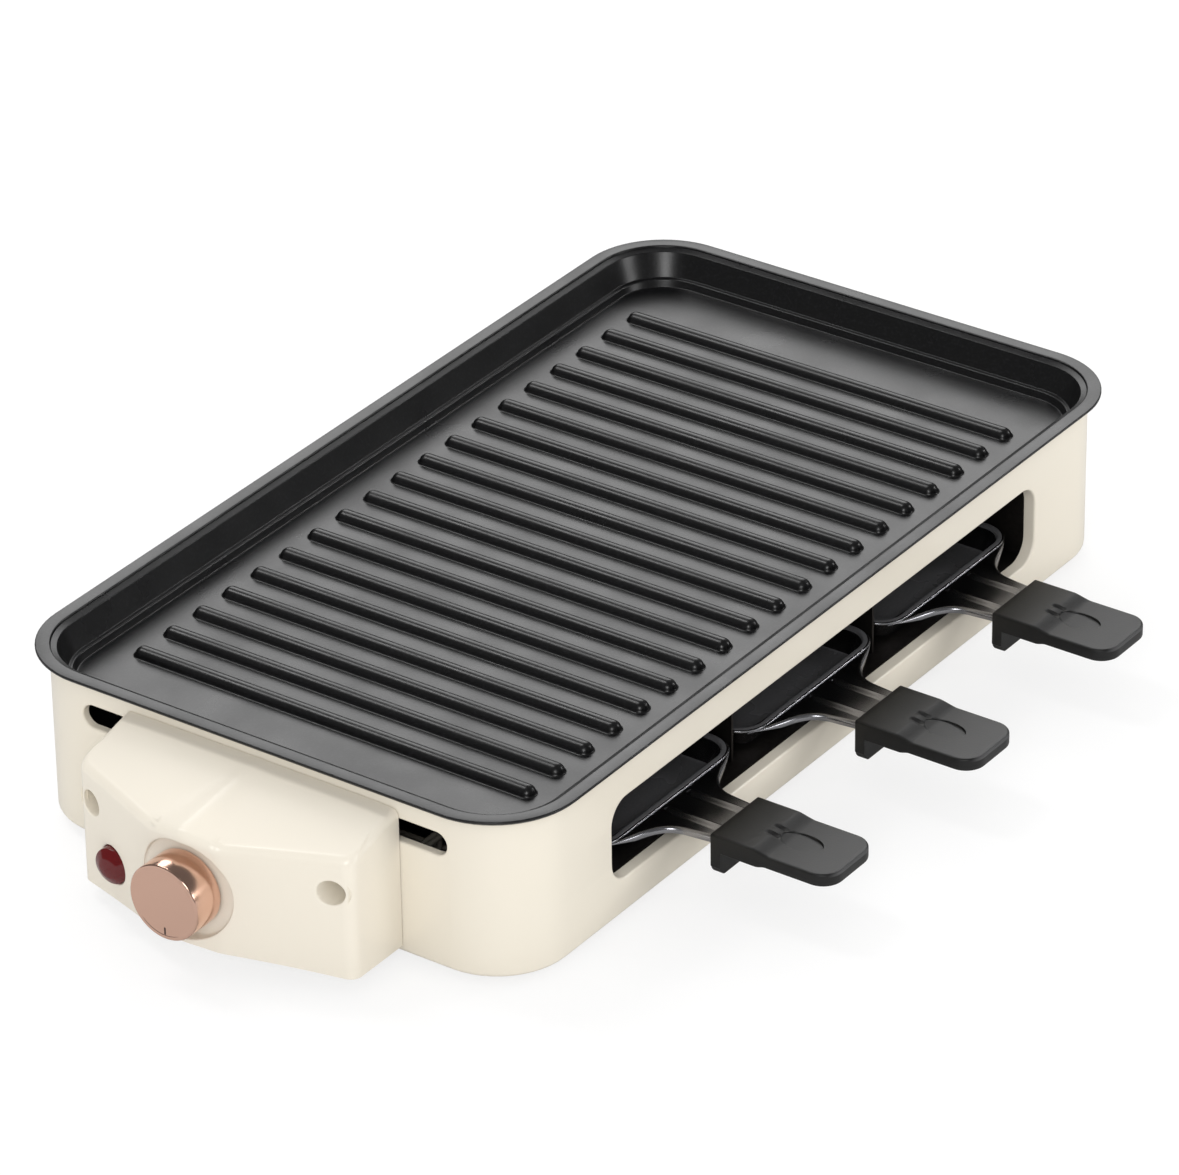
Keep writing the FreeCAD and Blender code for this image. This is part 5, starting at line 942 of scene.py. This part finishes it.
world = bpy.data.worlds.new("studio")
bpy.context.scene.world = world
world.use_nodes = True
tree = world.node_tree
air = tree.nodes["Background"]
air.inputs["Color"].default_value = linear(0xFFFFFF)
seen = add(tree, "LightPath", {})
either = add(tree, "Math", {0: seen.outputs["Is Camera Ray"],
                            1: seen.outputs["Is Transmission Ray"]}, operation="MAXIMUM")
level = add(tree, "MapRange", {0: either.outputs[0], 1: 0.0, 2: 1.0, 3: 0.65, 4: 1.0})
dimmed = add(tree, "Math", {0: seen.outputs["Is Glossy Ray"], 1: -0.5, 2: level.outputs[0]},
             operation="MULTIPLY_ADD")
tree.links.new(dimmed.outputs[0], air.inputs["Strength"])


def softbox(name, place, aim, width, depth, power):
    """Rectangular soft lamp that looks from a place at an aim."""
    lamp = bpy.data.lights.new(name, "AREA")
    lamp.shape = "RECTANGLE"
    lamp.size, lamp.size_y, lamp.energy = width, depth, power
    holder = bpy.data.objects.new(name, lamp)
    holder.location = place
    holder.rotation_euler = (Vector(aim) - Vector(place)).to_track_quat("-Z", "Y").to_euler()
    bpy.context.scene.collection.objects.link(holder)


softbox("back_light", (1.85, 1.3, 1.5), (0, 0, 0), 1.8, 1.3, 22)
softbox("top_light", (-0.15, 0.95, 1.65), (0, 0, 0), 0.3, 0.9, 7.5)
softbox("front_light", (0.45, -1.85, 0.55), (0, 0, 0.04), 0.6, 0.4, 5)
softbox("end_light", (-1.55, -0.85, 1.0), (0, 0, 0.04), 0.6, 0.6, 10.5)
softbox("side_light", (1.4, -1.1, 0.9), (0, 0, 0.04), 0.25, 0.25, 4)

view_az, view_el, view_roll = np.radians([-54.455, 30.0015, -0.854])
back = np.array([np.sin(view_az) * np.cos(view_el), -np.cos(view_az) * np.cos(view_el),
                 np.sin(view_el)])
right = np.array([np.cos(view_az), np.sin(view_az), 0])
up = np.cross(back, right)
level_right = right * np.cos(view_roll) + up * np.sin(view_roll)
level_up = up * np.cos(view_roll) - right * np.sin(view_roll)
distance, slide_right, slide_up, scale = 2497.57, 1.8366, -28.673, 1.125
place = (back * distance + level_right * slide_right + level_up * slide_up) * scale / 1000
place = place + middle + [0, 0, rim_top / 1000]
camera_data = bpy.data.cameras.new("camera")
camera_data.lens, camera_data.sensor_width = 208.5, 36
camera_data.clip_end = 50
camera = bpy.data.objects.new("camera", camera_data)
axes = Matrix([level_right, level_up, back]).transposed()
camera.matrix_world = Matrix.Translation(place) @ axes.to_4x4()
bpy.context.scene.collection.objects.link(camera)
bpy.context.scene.camera = camera
bpy.context.scene.view_settings.view_transform = "Standard"
